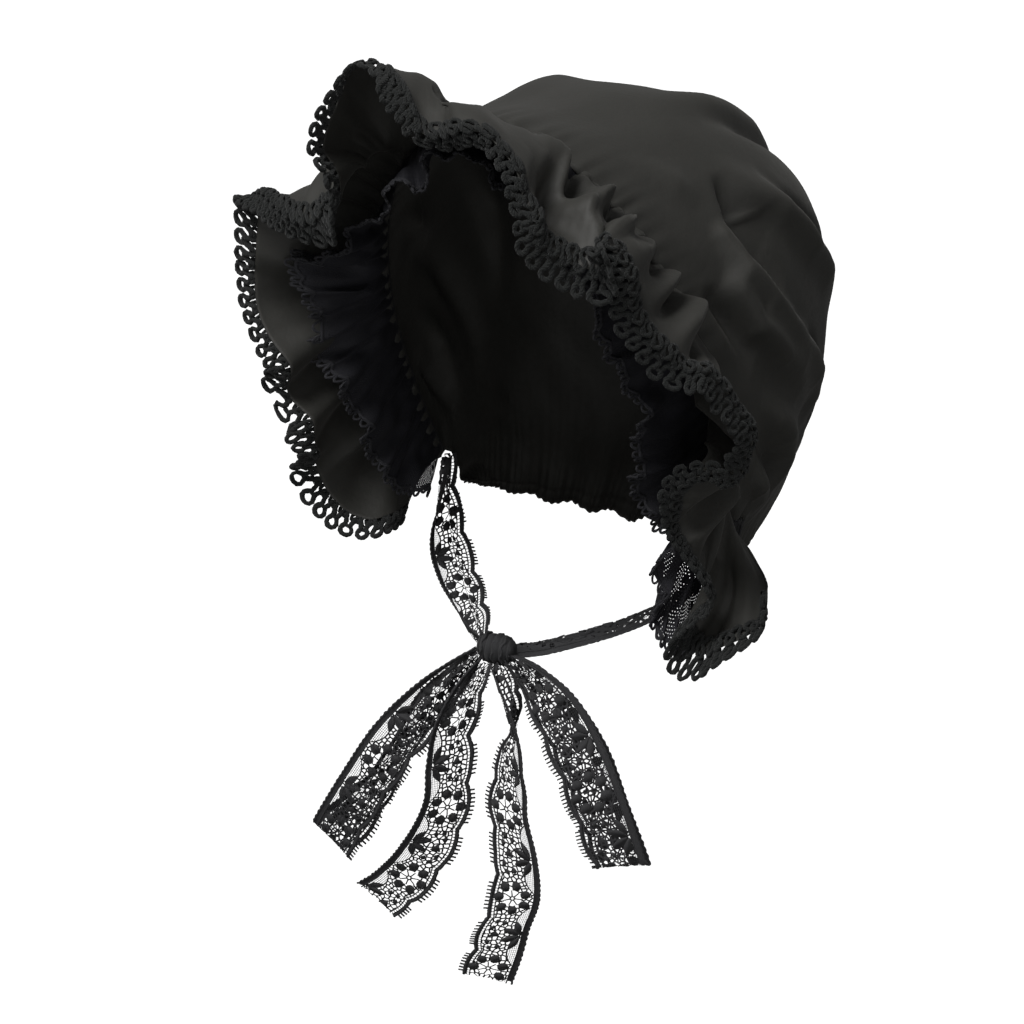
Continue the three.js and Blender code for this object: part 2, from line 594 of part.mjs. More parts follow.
/* One scallop of the trim with its opening: x in pitches, y out from the cloth. */
function trimScallop() {
  const half = 0.5;
  const scallop = new THREE.Shape();
  scallop.moveTo(-half, 0);
  scallop.lineTo(half, 0);
  scallop.lineTo(half, TRIM_BAND);
  scallop.lineTo(half * TRIM_SHOULDER, TRIM_WIDTH);
  scallop.lineTo(-half * TRIM_SHOULDER, TRIM_WIDTH);
  scallop.lineTo(-half, TRIM_BAND);
  const opening = new THREE.Path();
  opening.moveTo(0, TRIM_HOLE_AT - TRIM_HOLE_ACROSS);
  opening.lineTo(-TRIM_HOLE_ALONG, TRIM_HOLE_AT);
  opening.lineTo(0, TRIM_HOLE_AT + TRIM_HOLE_ACROSS);
  opening.lineTo(TRIM_HOLE_ALONG, TRIM_HOLE_AT);
  scallop.holes.push(opening);
  return new THREE.ExtrudeGeometry(scallop, { depth: 1, bevelEnabled: false, curveSegments: 1 });
}

/* Whole trim: scallops joined side to side round the ruffle's free edge. */
function picotTrim(strip) {
  const scallop = trimScallop().getAttribute("position");
  const surface = (u, v) => {
    const start = strip.reachAt(u) - TRIM_WIDTH;
    return strip.pointAt(u, start + v * TRIM_WIDTH);
  };
  const points = [];
  for (let cell = 0; cell < TRIM_CELLS; cell += 1) {
    for (let i = 0; i < scallop.count; i += 3) {
      const corners = [0, 1, 2].map((k) => new THREE.Vector3().fromBufferAttribute(scallop, i + k));
      const joins = (side) => corners.every((corner) => corner.x === side);
      const innerLeft = joins(-0.5) && cell > 0;
      const innerRight = joins(0.5) && cell < TRIM_CELLS - 1;
      if (innerLeft || innerRight) continue;
      for (const corner of corners) {
        const u = (cell + 0.5 + corner.x) / TRIM_CELLS;
        const v = corner.y / TRIM_WIDTH;
        const point = offSheet(surface, u, v, (corner.z - 0.5) * TRIM_THICKNESS);
        points.push(point.x, point.y, point.z);
      }
    }
  }
  const trim = new THREE.BufferGeometry();
  trim.setAttribute("position", new THREE.Float32BufferAttribute(points, 3));
  return faceOutward(mergeVertices(trim, 1e-3));
}

/* Ribbon surface from its table: u down its length, v across its width. */
function ribbonSurface(rows) {
  const counted = rows.map((row, i) => ({ ...row, at: i / (rows.length - 1) }));
  return (u, v) => {
    const at = (name) => column(counted, "at", name, u);
    const turn = at("turn") * DEGREE;
    const rise = at("rise") * DEGREE;
    const across = new THREE.Vector3(
      Math.cos(turn) * Math.cos(rise),
      Math.sin(turn) * Math.cos(rise),
      Math.sin(rise),
    );
    const centre = new THREE.Vector3(at("x"), at("y"), at("z"));
    return centre.addScaledVector(across, (v - 0.5) * RIBBON_WIDTH * at("share"));
  };
}

/* Knot with the shallow grooves of the ribbon wrapped round it. */
function knotBody() {
  const ball = new THREE.SphereGeometry(1, KNOT_ROUND, KNOT_STACK);
  ball.deleteAttribute("normal");
  ball.deleteAttribute("uv");
  const knot = mergeVertices(ball, 1e-6);
  const position = knot.getAttribute("position");
  for (let i = 0; i < position.count; i += 1) {
    const point = new THREE.Vector3().fromBufferAttribute(position, i);
    const groove = 1 - KNOT_WRAP_DEPTH * (1 + Math.cos(KNOT_WRAPS * Math.PI * point.x));
    point.multiplyScalar(groove).multiply(KNOT_HALF).add(KNOT_CENTRE);
    position.setXYZ(i, point.x, point.y, point.z);
  }
  return faceOutward(knot);
}

const COTTON = { color: 0x23221e, roughness: 0.85, metalness: 0 };
const TRIM_CORD = { color: 0x1b1c1d, roughness: 0.9, metalness: 0 };
const FRILL_LACE = { color: 0x202027, roughness: 0.9, metalness: 0 };
const RIBBON_LACE = { color: 0x19191b, roughness: 0.85, metalness: 0 };

const bonnet = new THREE.Group();

function addPiece(name, geometry, look) {
  const piece = new THREE.Mesh(geometry, new THREE.MeshStandardMaterial(look));
  piece.name = name;
  bonnet.add(piece);
}

const ruffle = gatheredStrip(RUFFLE_ROWS_ALONG, RUFFLE_ROOT, PIECE_GAP + COTTON_THICKNESS / 2, 0);
const frill = gatheredStrip(FRILL_ROWS_ALONG, FRILL_ROOT, PIECE_GAP, FRILL_INSET);
const ruffleCloth = (u, v) => ruffle.pointAt(u, v * (ruffle.reachAt(u) - TRIM_WIDTH - TRIM_GAP));
const frillCloth = (u, v) => frill.pointAt(u, v * frill.reachAt(u));

addPiece("crown", clothSheet(crownSurface, COTTON_THICKNESS, CROWN_COLUMNS, CROWN_ROWS), COTTON);
addPiece("brim_ruffle", clothSheet(ruffleCloth, COTTON_THICKNESS, RUFFLE_COLUMNS, RUFFLE_ROWS), COTTON);
addPiece("edge_trim", picotTrim(ruffle), TRIM_CORD);
addPiece("lace_frill", clothSheet(frillCloth, LACE_THICKNESS, FRILL_COLUMNS, FRILL_ROWS), FRILL_LACE);

const ribbons = {
  tie_left: TIE_LEFT_ROWS,
  tie_right: TIE_RIGHT_ROWS,
  bow_loop_left: LOOP_LEFT_ROWS,
  bow_loop_right: LOOP_RIGHT_ROWS,
  bow_tail_left: TAIL_LEFT_ROWS,
  bow_tail_right: TAIL_RIGHT_ROWS,
};
for (const [name, rows] of Object.entries(ribbons)) {
  const sheet = clothSheet(ribbonSurface(rows), LACE_THICKNESS, RIBBON_STEPS, RIBBON_ACROSS);
  addPiece(name, sheet, RIBBON_LACE);
}
addPiece("bow_knot", knotBody(), RIBBON_LACE);

export default bonnet;
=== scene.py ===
"""Black cotton bonnet: crown, gathered brim ruffle with a picot loop trim, a lace frill
inside the brim, and lace ribbon ties tied in a bow.

Shapes are worked out in millimetres in the CAD's frame, +Z up, the brim toward -Y, and
put into the meshes in metres. "along" runs from 0 at the wearer's right corner, over the
head, to 1 at the left one. "sweep" is an angle in degrees about the line through the two
corners, 0 straight back and 90 up.
"""

import math

import bmesh
import bpy
import numpy as np
from mathutils import Matrix, Vector


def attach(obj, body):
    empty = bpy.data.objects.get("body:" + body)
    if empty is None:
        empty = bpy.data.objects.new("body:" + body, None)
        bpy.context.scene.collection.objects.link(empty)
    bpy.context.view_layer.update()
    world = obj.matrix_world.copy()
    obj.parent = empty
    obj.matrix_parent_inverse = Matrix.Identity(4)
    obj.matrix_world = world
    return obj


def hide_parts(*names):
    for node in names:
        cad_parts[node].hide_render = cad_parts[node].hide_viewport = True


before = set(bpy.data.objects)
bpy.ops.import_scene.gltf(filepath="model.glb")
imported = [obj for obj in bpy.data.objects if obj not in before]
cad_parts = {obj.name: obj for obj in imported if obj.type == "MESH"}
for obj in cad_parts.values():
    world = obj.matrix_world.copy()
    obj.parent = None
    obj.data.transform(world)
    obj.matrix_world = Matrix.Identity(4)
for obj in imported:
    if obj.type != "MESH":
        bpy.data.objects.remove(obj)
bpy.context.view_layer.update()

MM = 0.001


def table(text):
    """Columns by name from a short table whose first line names them."""
    names, *rows = [line.split() for line in text.strip().splitlines()]
    values = np.array(rows, float)
    return {name: values[:, i] for i, name in enumerate(names)}


# ---------------------------------------------------------------- sizes and tables
CORNER_DROP = 213
SEAM_SWEEP = 113
NECK_SWEEP = -25
CORNER_SHARE = 0.07
PIECE_GAP = 0.4
COTTON_WALL = 0.5
LACE_WALL = 0.35

# Sections of the crown cut by planes through the line of the corners.
CROWN_SECTIONS = table("""
sweep reach side belt foot square
113   240   85   88   76   1.95
101   218.5 91   91   76   2.1
90    213.6 94   92   76   2.3
72    204   96   92   76   2.5
52    190   93   84   76   2.5
32    157   87   70   75   2.3
12    120   80   52   74   2.15
-8    90    75   34   73   2.0
-25   74    72   24   71   2.0
""")

# Folds as lines on a cloth's flat pattern: how far each stands out, and its widths on the
# left and right of the line as it runs. A crisp fold has one narrow side.
CROWN_FOLDS = table("""
fold along sweep height on_right on_left
1 0.652 92    0   6  4
1 0.672 92.5 -4   8  4
1 0.690 93   -7  12  4
1 0.703 94   -8  15  4
1 0.722 92.5 -7  17  5
1 0.752 89   -5  18  6
1 0.785 83    0  14  8
2 0.688 97    0   5  6
2 0.700 97    3   5  7
2 0.733 96    6   5  8
2 0.768 91.5  7   6  9
2 0.800 85    7   7 10
2 0.822 76    7   7 11
2 0.838 62    7   7 11
2 0.846 50    4   8 11
2 0.85  42    0   9 12
3 0.650 92    0   8  6
3 0.680 86    3   9  6
3 0.700 80    6  11  7
3 0.727 70    6  11  8
3 0.732 58    5  12  9
3 0.725 44    0  13 10
4 0.662 83    0   5  6
4 0.690 77   -3   5  6
4 0.709 67   -6   5  7
4 0.712 57   -6   6  7
4 0.705 44    0   7  8
5 0.735 101   0   7  5
5 0.748 99.5  4   8  6
5 0.790 96.5  6   8  7
5 0.830 87    6   8  8
5 0.860 72    4   9  9
5 0.878 56    0  10 10
6 0.742 107   0   5  4
6 0.752 105.5 -5  6  4
6 0.772 104  -6   7  5
6 0.795 102  -4   8  6
6 0.830 97    0   9  8
7 0.812 68    0   5  5
7 0.828 55   -5   5  6
7 0.834 44   -6   5  6
7 0.834 33   -4   6  7
7 0.828 20    0   7  8
8 0.875 94    0   8  6
8 0.893 82    4   9  7
8 0.908 70    5   9  7
8 0.922 50    4  10  7
8 0.925 28    0  10  8
9 0.905 98    0   6  7
9 0.925 84   -4   7  7
9 0.938 66   -5   7  8
9 0.948 44   -3   8  8
9 0.952 24    0   8  8
10 0.950 90   0   6  6
10 0.962 74   4   6  7
10 0.968 52   3   7  7
10 0.972 26   0   7  7
11 0.560 94   0  10  9
11 0.580 80   4  10  9
11 0.584 66   4  11 10
11 0.578 48   0  12 11
12 0.596 86   0   6  6
12 0.610 74  -4   6  7
12 0.613 62  -4   7  8
12 0.608 46   0   8  9
13 0.600 104  0   6  9
13 0.640 100  2   7 10
13 0.665 98   0   7  9
14 0.50  74   0  12 13
14 0.51  48   3  13 14
14 0.52  20   0  14 14
15 0.44  97   0   8 10
15 0.43  82   3  10 12
15 0.41  60   0  12 12
16 0.37  98   0   9 10
16 0.33  74   5   9 12
16 0.28  46   0  12 12
17 0.31  88   0   6  9
17 0.26  66  -6   7 11
17 0.20  42   0  10 12
18 0.22  98   0   8  9
18 0.17  72   5   7 10
18 0.12  36   0  11 11
19 0.28  104  0   5  6
19 0.25  96  -4   4  8
19 0.20  84   0   6 10
20 0.15  96   0   6  7
20 0.11  76  -4   6  9
20 0.07  44   0   9 10
21 0.10  100  0   5  6
21 0.07  80   4   5  8
21 0.045 50   0   7  9
22 0.36  70   0   9  9
22 0.37  48  -4   7 10
22 0.36  24   0  10 11
23 0.62  48   0   9  9
23 0.63  30   4   7 10
23 0.62  8    0  10 10
""")
RUFFLE_FOLDS = table("""
fold along out height on_right on_left
1 0.392 4   0   5 3
1 0.386 12 -3   6 3
1 0.362 38 -6   8 3
1 0.352 62 -5   8 3
2 0.345 6   0   7 6
2 0.333 34  5   8 6
2 0.330 62  3   8 6
3 0.306 5   0   6 6
3 0.300 30 -5   6 7
3 0.286 60 -2   7 8
4 0.283 6   0   8 5
4 0.270 36  5   9 4
4 0.262 62  4   9 4
5 0.250 6   0   8 8
5 0.238 36 -4   8 9
5 0.232 60 -1   9 9
6 0.222 6   0   7 6
6 0.210 34  4   8 7
6 0.204 60  2   8 7
7 0.192 6   0   6 6
7 0.180 34 -5   6 7
7 0.172 62 -3   7 8
8 0.165 6   0   6 6
8 0.155 32  4   6 7
8 0.150 60  2   7 7
9 0.140 6   0   6 6
9 0.128 32 -5   5 7
9 0.120 60 -2   6 7
10 0.118 6  0   6 6
10 0.106 32 5   6 7
10 0.098 60 3   7 7
11 0.092 6  0   6 6
11 0.080 32 -5  5 7
11 0.072 60 -2  6 7
12 0.062 6  0   6 6
12 0.052 32 4   7 7
12 0.046 60 2   8 8
13 0.030 6  0   6 6
13 0.024 32 -3  7 7
13 0.020 56 0   8 8
14 0.484 3   0  5 6
14 0.476 16 -5  6 7
14 0.466 34 -6  7 7
14 0.455 54 -2  8 8
15 0.552 2   3  8 8
15 0.556 12  5  9 9
15 0.556 26  3  9 9
15 0.550 40  0  9 9
16 0.588 3  -3  5 5
16 0.588 14 -9  7 7
16 0.585 28 -8  8 8
16 0.580 40 -3  8 8
33 0.566 3   0  3 3
33 0.572 15  4  3 4
33 0.578 28  5  3 4
33 0.583 38  2  4 4
34 0.546 60  2  8 8
34 0.558 62  7  8 9
34 0.574 62  7  8 9
34 0.590 58  2  8 8
40 0.562 24 -3  7 7
40 0.572 38 -9  8 8
40 0.580 48 -8  8 8
40 0.588 58 -2  8 8
35 0.598 2   2  4 4
35 0.597 7   3  5 5
35 0.596 13  2  5 5
17 0.620 5   3  4 5
17 0.610 16  7  4 5
17 0.598 28  7  5 6
17 0.584 44  3  6 7
36 0.592 33  3  5 5
36 0.600 46  5  5 5
36 0.607 60  2  6 6
37 0.632 6  -3  4 4
37 0.628 14 -8  5 5
37 0.618 26 -6  5 6
18 0.642 3   2  3 5
18 0.640 18  5  4 5
18 0.637 38  5  4 6
18 0.634 56  1  4 6
19 0.655 6  -1  4 3
19 0.654 20 -3  4 3
19 0.652 38 -1  5 4
20 0.668 2   3  5 5
20 0.670 8   4  5 6
20 0.668 18  4  6 7
20 0.660 34  4  7 8
20 0.655 52  1  8 9
38 0.690 2  -2  3 3
38 0.689 8  -7  3 4
38 0.684 18 -5  4 5
38 0.678 30 -2  5 5
21 0.704 2   2  4 4
21 0.704 8   4  5 5
21 0.700 18  6  5 5
21 0.692 34  4  6 6
21 0.688 50  1  6 6
39 0.716 2  -3  4 4
39 0.714 16 -8  4 5
39 0.708 34 -6  5 5
39 0.702 52 -2  6 6
22 0.736 2   4  6 7
22 0.732 18  8  8 8
22 0.726 38  7  8 8
22 0.720 58  2  8 8
23 0.752 4  -3  4 4
23 0.750 20 -7  4 5
23 0.746 44 -5  5 5
23 0.742 60 -1  7 6
24 0.772 2   3  4 4
24 0.775 20  4  5 5
24 0.780 42  3  6 6
24 0.786 60  1  7 7
25 0.812 4  -3  5 5
25 0.818 24 -8  6 6
25 0.826 46 -5  7 7
26 0.838 2   3  6 6
26 0.846 22  7  7 7
26 0.856 46  4  7 7
27 0.862 4  -2  4 5
27 0.870 24 -7  4 6
27 0.878 50 -4  5 7
28 0.886 2   3  6 5
28 0.893 24  7  7 5
28 0.898 52  4  8 6
29 0.900 4  -3  4 4
29 0.904 28 -8  4 4
29 0.908 50 -4  5 5
30 0.916 3   2  4 4
30 0.920 26  7  4 5
30 0.924 54  4  5 6
32 0.934 4  -3  4 4
32 0.940 26 -8  4 5
32 0.944 56 -4  5 6
31 0.958 4  -1  5 5
31 0.968 30 -5  5 6
31 0.974 58 -1  6 7
""")
CROWN_SCALE = np.array([480, 3.2])
RUFFLE_SCALE = np.array([640, 1.0])

NECK_GATHERS = 11
NECK_GATHER_DEPTH = 3.5
NECK_GATHER_SPAN = 0.3

# Edge of the ruffle seen from the seam, to the tip of its trim.
RUFFLE_EDGE = table("""
along reach flare swing
0.000 44 -6 -4
0.015 64 -8 0
0.040 75 4 -2
0.070 76 18 2
0.095 76 6 8
0.120 76 8 12
0.145 76 17 9
0.170 76 16 14
0.195 76 32 15
0.220 76 47 21
0.245 76 58 27
0.270 76 56 29
0.280 76 48 31
0.290 76 36 31
0.300 76 25 27
0.310 76 16 22
0.320 76 9 18
0.330 76 4 17
0.340 76 2 20
0.348 76 3 26
0.355 76 7 31
0.362 76 17 35
0.370 76 28 37
0.377 76 38 41
0.385 76 46 46
0.400 77 54 51
0.408 76 48 53
0.415 76 38 53
0.422 76 26 49
0.430 76 13 43
0.438 76 7 38
0.446 76 4 34
0.460 76 4 36
0.475 76 15 39
0.490 76 25 38
0.505 76 29 32
0.520 76 29 26
0.535 76 26 18
0.550 76 19 10
0.560 76 14 7
0.570 76 11 6
0.580 76 10 7
0.590 76 12 12
0.600 76 17 16
0.608 76 21 19
0.616 76 25 13
0.624 76 30 0
0.632 76 32 -11
0.640 76 34 -16
0.650 76 34 -17
0.660 76 33 -15
0.670 76 30 -12
0.680 76 26 -10
0.690 76 23 -8
0.700 76 23 -6
0.715 76 24 -3
0.730 76 29 -3
0.745 76 36 -7
0.760 76 41 -11
0.775 76 44 -12
0.790 76 46 -12
0.825 76 47 -8
0.850 76 38 -10
0.862 76 30 -13
0.870 76 23 -21
0.880 76 12 -27
0.890 76 2 -24
0.900 76 0 -18
0.920 76 1 -10
0.930 76 6 -7
0.940 76 14 -2
0.946 77 18 6
0.953 79 12 12
0.960 83 4 20
0.970 88 7 25
0.977 88 18 14
0.985 84 27 2
0.992 78 35 -6
1.000 66 41 -17
""")
RUFFLE_ROOT = table("""
along flare bulge
0.00 10 1
0.10 20 1
0.20 34 1
0.26 46 1
0.29 76 1.35
0.32 80 1.35
0.345 62 1.1
0.37 54 1
0.40 78 1.25
0.43 98 1.7
0.455 94 1.62
0.48 68 1.35
0.51 60 1.2
0.56 50 1.1
0.66 50 1.1
0.74 50 1.0
0.78 40 0.7
0.82 48 0.8
0.87 42 1
0.93 30 1
0.97 34 1.2
0.99 50 1.5
1.00 56 1.6
""")
FRILL_EDGE = table("""
along reach flare swing
0.000 30 -22 0
0.040 46 -12 -4
0.080 50 -2 2
0.120 50 -5 5
0.160 50 6 6
0.190 50 22 8
0.215 50 14 16
0.245 52 40 22
0.260 50 27 28
0.275 50 8 29
0.290 50 1 31
0.310 50 -3 35
0.330 50 -10 36
0.350 50 -15 37
0.385 47 -8 37
0.420 44 -12 30
0.450 40 2 28
0.480 38 14 22
0.520 38 12 14
0.560 38 12 12
0.600 40 8 8
0.640 42 2 -4
0.690 44 -4 -5
0.740 46 -14 -8
0.790 46 -6 -10
0.830 48 -12 -12
0.860 50 -18 -14
0.880 50 -23 -9
0.897 50 -25 3
0.912 49 -18 6
0.930 50 -6 8
0.945 60 -11 26
0.955 70 -10 32
0.965 76 -5 35
0.975 76 3 36
0.987 70 11 28
1.000 52 15 22
""")
FRILL_ROOT = table("""
along flare bulge
0.0 -16 1
0.5 -6 1
1.0 -12 1
""")
FRILL_INSET = 1.6
SWING_BLEND = 0.12
EDGE_SAMPLES = 1200

# Trim
TRIM_WIDTH = 12
# How far the trim folds under the edge it hangs from, in degrees.
TRIM_BEND = table("""
along bend spread
0.00 0 1
0.26 0 1
0.285 58 0.9
0.335 58 0.9
0.352 12 1
0.365 0 1
0.395 0 1
0.410 20 0.9
0.425 62 0.7
0.480 62 0.6
0.560 60 0.6
0.585 35 0.8
0.61 35 1
0.66 35 0.85
0.690 50 0.75
0.760 55 0.85
0.800 65 0.85
0.865 75 0.8
0.885 55 0.6
0.897 0 0.45
0.910 -40 0.4
0.935 -40 0.4
0.948 -10 0.6
0.96 0 0.9
1.00 0 1
""")
TRIM_SCALLOPS = 134
CORD_RADIUS = 1.28

# Ribbons
RIBBON_WIDTH = 25.5
RIBBONS = {
    "tie_left": table("""
x y z turn rise share
78.9 2 -201 79 0 0.4
77 -2 -212 86 -2 0.5
72 -9 -225 100 -6 0.75
61 -21 -237 112 -10 0.95
46 -36 -246 118 -13 0.95
28 -52 -252 122 -14 0.75
14 -65 -255 126 -12 0.45
3.2 -73.2 -256.2 130 -8 0.2
"""),
    "tie_right": table("""
x y z turn rise share
-78.9 2 -201 101 0 0.4
-77.5 -2 -212 94 -2 0.5
-74 -9 -225 80 -6 0.75
-65 -21 -237 68 -10 0.95
-51 -36 -246 62 -13 0.95
-35 -52 -252 58 -14 0.75
-23 -65 -255 54 -12 0.45
-13.2 -73.2 -256.2 50 -8 0.2
"""),
    "bow_loop_left": table("""
x y z turn rise share
3.3 -80.8 -257.3 232 -50 0.22
17 -84 -263 228 -44 0.55
33 -88 -274 224 -34 0.9
49 -92 -294 221 -25 1
62 -95 -318 216 -16 1
71 -95.5 -339 211 -5 1
72.5 -93 -343 210 -2 1
70 -89.5 -342 211 -4 1
58 -86 -322 215 -14 1
45 -82 -299 220 -24 1
29 -79 -279 224 -34 0.85
15 -77 -266 228 -44 0.5
6.5 -76 -260 232 -50 0.2
"""),
    "bow_loop_right": table("""
x y z turn rise share
-13.2 -80.4 -257.7 12 -50 0.22
-22 -87 -269 12 -46 0.55
-34 -93 -286 13 -42 0.9
-49 -100 -307 14 -38 1
-63 -106 -332 15 -40 1
-78 -110 -360 17 -46 1
-80.5 -108.5 -365.5 17 -47 1
-76.7 -104.0 -359.2 24 -46 1
-67.5 -99.0 -346.6 58 -44 1
-60.5 -93.0 -334.8 84 -42 1
-55.2 -88.0 -322.0 92 -40 1
-48.7 -84.0 -308.6 90 -40 1
-40.5 -81.0 -295.4 70 -44 0.9
-29.9 -78.5 -281.5 36 -48 0.6
-16 -76.5 -261 12 -52 0.2
"""),
    "bow_tail_right": table("""
x y z turn rise share
-8.5 -82.4 -261.6 24 0 0.28
-12 -92 -273 36 0 0.6
-16 -99 -290 56 -2 0.9
-16.5 -102 -309 60 -4 1
-17 -104 -329 56 -8 1
-23.5 -106 -349 42 -16 1
-33 -107 -367 30 -28 1
-45 -107 -383 20 -40 1
-57 -107 -394 18 -44 1
"""),
    "bow_tail_left": table("""
x y z turn rise share
-2 -82.2 -260.5 40 0 0.28
8 -88 -272 88 0 0.55
12.5 -90 -285 116 0 0.85
11 -91 -306 146 0 1
10 -92 -330 166 2 1
14.5 -93 -354 176 0 1
14.5 -93 -377 188 -4 1
8 -93 -398 202 -6 1
3 -92 -414 208 8 1
-3 -91 -431 210 14 1
"""),
}

KNOT_CENTRE = np.array([-5, -77, -255.5])
KNOT_HALF = np.array([9.5, 7, 7.5])


# ---------------------------------------------------------------- small maths
def smooth(rows, key, name, at):
    """Smooth value of one column of a table at places between its rows."""
    x, y = rows[key], rows[name]
    if x[0] > x[-1]:
        x, y = x[::-1], y[::-1]
    slope = np.gradient(y, x)
    at = np.clip(at, x[0], x[-1])
    i = np.clip(np.searchsorted(x, at, side="right") - 1, 0, len(x) - 2)
    h = x[i + 1] - x[i]
    t = (at - x[i]) / h
    t2, t3 = t * t, t * t * t
    return (
        (2 * t3 - 3 * t2 + 1) * y[i]
        + (t3 - 2 * t2 + t) * h * slope[i]
        + (3 * t2 - 2 * t3) * y[i + 1]
        + (t3 - t2) * h * slope[i + 1]
    )


def running_lengths(points):
    steps = np.linalg.norm(np.diff(points, axis=0), axis=1)
    return np.concatenate([[0], np.cumsum(steps)])


def ease(x, low, high):
    """0 below low, 1 above high, smooth between."""
    t = np.clip((x - low) / (high - low), 0, 1)
    return t * t * (3 - 2 * t)


def unit(v):
    return v / np.maximum(np.linalg.norm(v, axis=-1, keepdims=True), 1e-12)


def soft_noise(x, y, seed):
    """Smooth noise from -1 to 1 with features about one unit across."""
    size = 257
    grid = np.random.default_rng(seed).uniform(-1, 1, (size, size))
    xi, yi = np.floor(x).astype(int), np.floor(y).astype(int)
    fx, fy = x - xi, y - yi
    fx, fy = fx * fx * (3 - 2 * fx), fy * fy * (3 - 2 * fy)

    def at(i, j):
        return grid[(xi + i) % size, (yi + j) % size]

    low = at(0, 0) * (1 - fx) + at(1, 0) * fx
    high = at(0, 1) * (1 - fx) + at(1, 1) * fx
    return low * (1 - fy) + high * fy


def uneven_wave(x, count, seed, shift=0.0):
    """Wave of count gathers over x from 0 to 1, each of its own width and height."""
    rng = np.random.default_rng(seed)
    knots = np.arange(count + 1) + np.concatenate([[0], rng.uniform(-0.3, 0.3, count - 1), [0]])
    phase = np.interp(np.clip(x, 0, 1), knots / count, np.arange(count + 1))
    heights = rng.uniform(0.45, 1.0, count + 1)
    height = np.interp(phase, np.arange(count + 1), heights)
    return height * np.cos(2 * math.pi * (phase + shift))


# ---------------------------------------------------------------- crown
SECTION_POINTS = 60


def section_outline(sweep):
    reach, side, belt, foot, square = [
        float(smooth(CROWN_SECTIONS, "sweep", n, sweep)) for n in ("reach", "side", "belt", "foot", "square")
    ]
    q = np.linspace(CORNER_SHARE * reach / belt, 1, SECTION_POINTS)
    turn = np.linspace(0, math.pi / 2, SECTION_POINTS)[1:]
    low = np.stack([foot + (side - foot) * (1 - (1 - q) ** 2), belt * q], 1)
    high = np.stack([
        side * np.maximum(np.cos(turn), 0) ** (2 / square),
        belt + (reach - belt) * np.sin(turn) ** (2 / square),
    ], 1)
    half = np.concatenate([low, high])
    right = half * [-1, 1]
    return np.concatenate([right, half[:-1][::-1]])


def plain_crown(along, sweep):
    """Points of the crown before its folds. along and sweep are arrays of one length."""
    points = np.zeros((len(along), 3))
    for one in np.unique(sweep):
        at = sweep == one
        outline = section_outline(one)
        lengths = running_lengths(outline)
        x = np.interp(along[at] * lengths[-1], lengths, outline[:, 0])
        rho = np.interp(along[at] * lengths[-1], lengths, outline[:, 1])
        turn = math.radians(one)
        points[at] = np.stack([x, rho * math.cos(turn), rho * math.sin(turn) - CORNER_DROP], 1)
    return points


def fold_height(folds, across, down, along, place, scale):
    """How far a chart's folds stand out at places on the flat pattern."""
    spots = np.stack([along, place], 1) * scale
    total = np.zeros(len(spots))
    for fold in np.unique(folds["fold"]):
        rows = np.flatnonzero(folds["fold"] == fold)
        line = np.stack([folds[across][rows], folds[down][rows]], 1) * scale
        nearest = np.full(len(spots), np.inf)
        lift = np.zeros(len(spots))
        for k, (a, b) in enumerate(zip(line[:-1], line[1:])):
            run = b - a
            t = np.clip((spots - a) @ run / (run @ run), 0, 1)
            off = spots - (a + t[:, None] * run)
            gap = np.linalg.norm(off, axis=1)
            on_left = run[0] * off[:, 1] - run[1] * off[:, 0] > 0
            i, j = rows[k], rows[k + 1]

            def between(name):
                return folds[name][i] + (folds[name][j] - folds[name][i]) * t

            width = np.where(on_left, between("on_left"), between("on_right"))
            here = between("height") * np.exp(-((gap / width) ** 2))
            closer = gap < nearest
            nearest = np.where(closer, gap, nearest)
            lift = np.where(closer, here, lift)
        total += lift
    return total


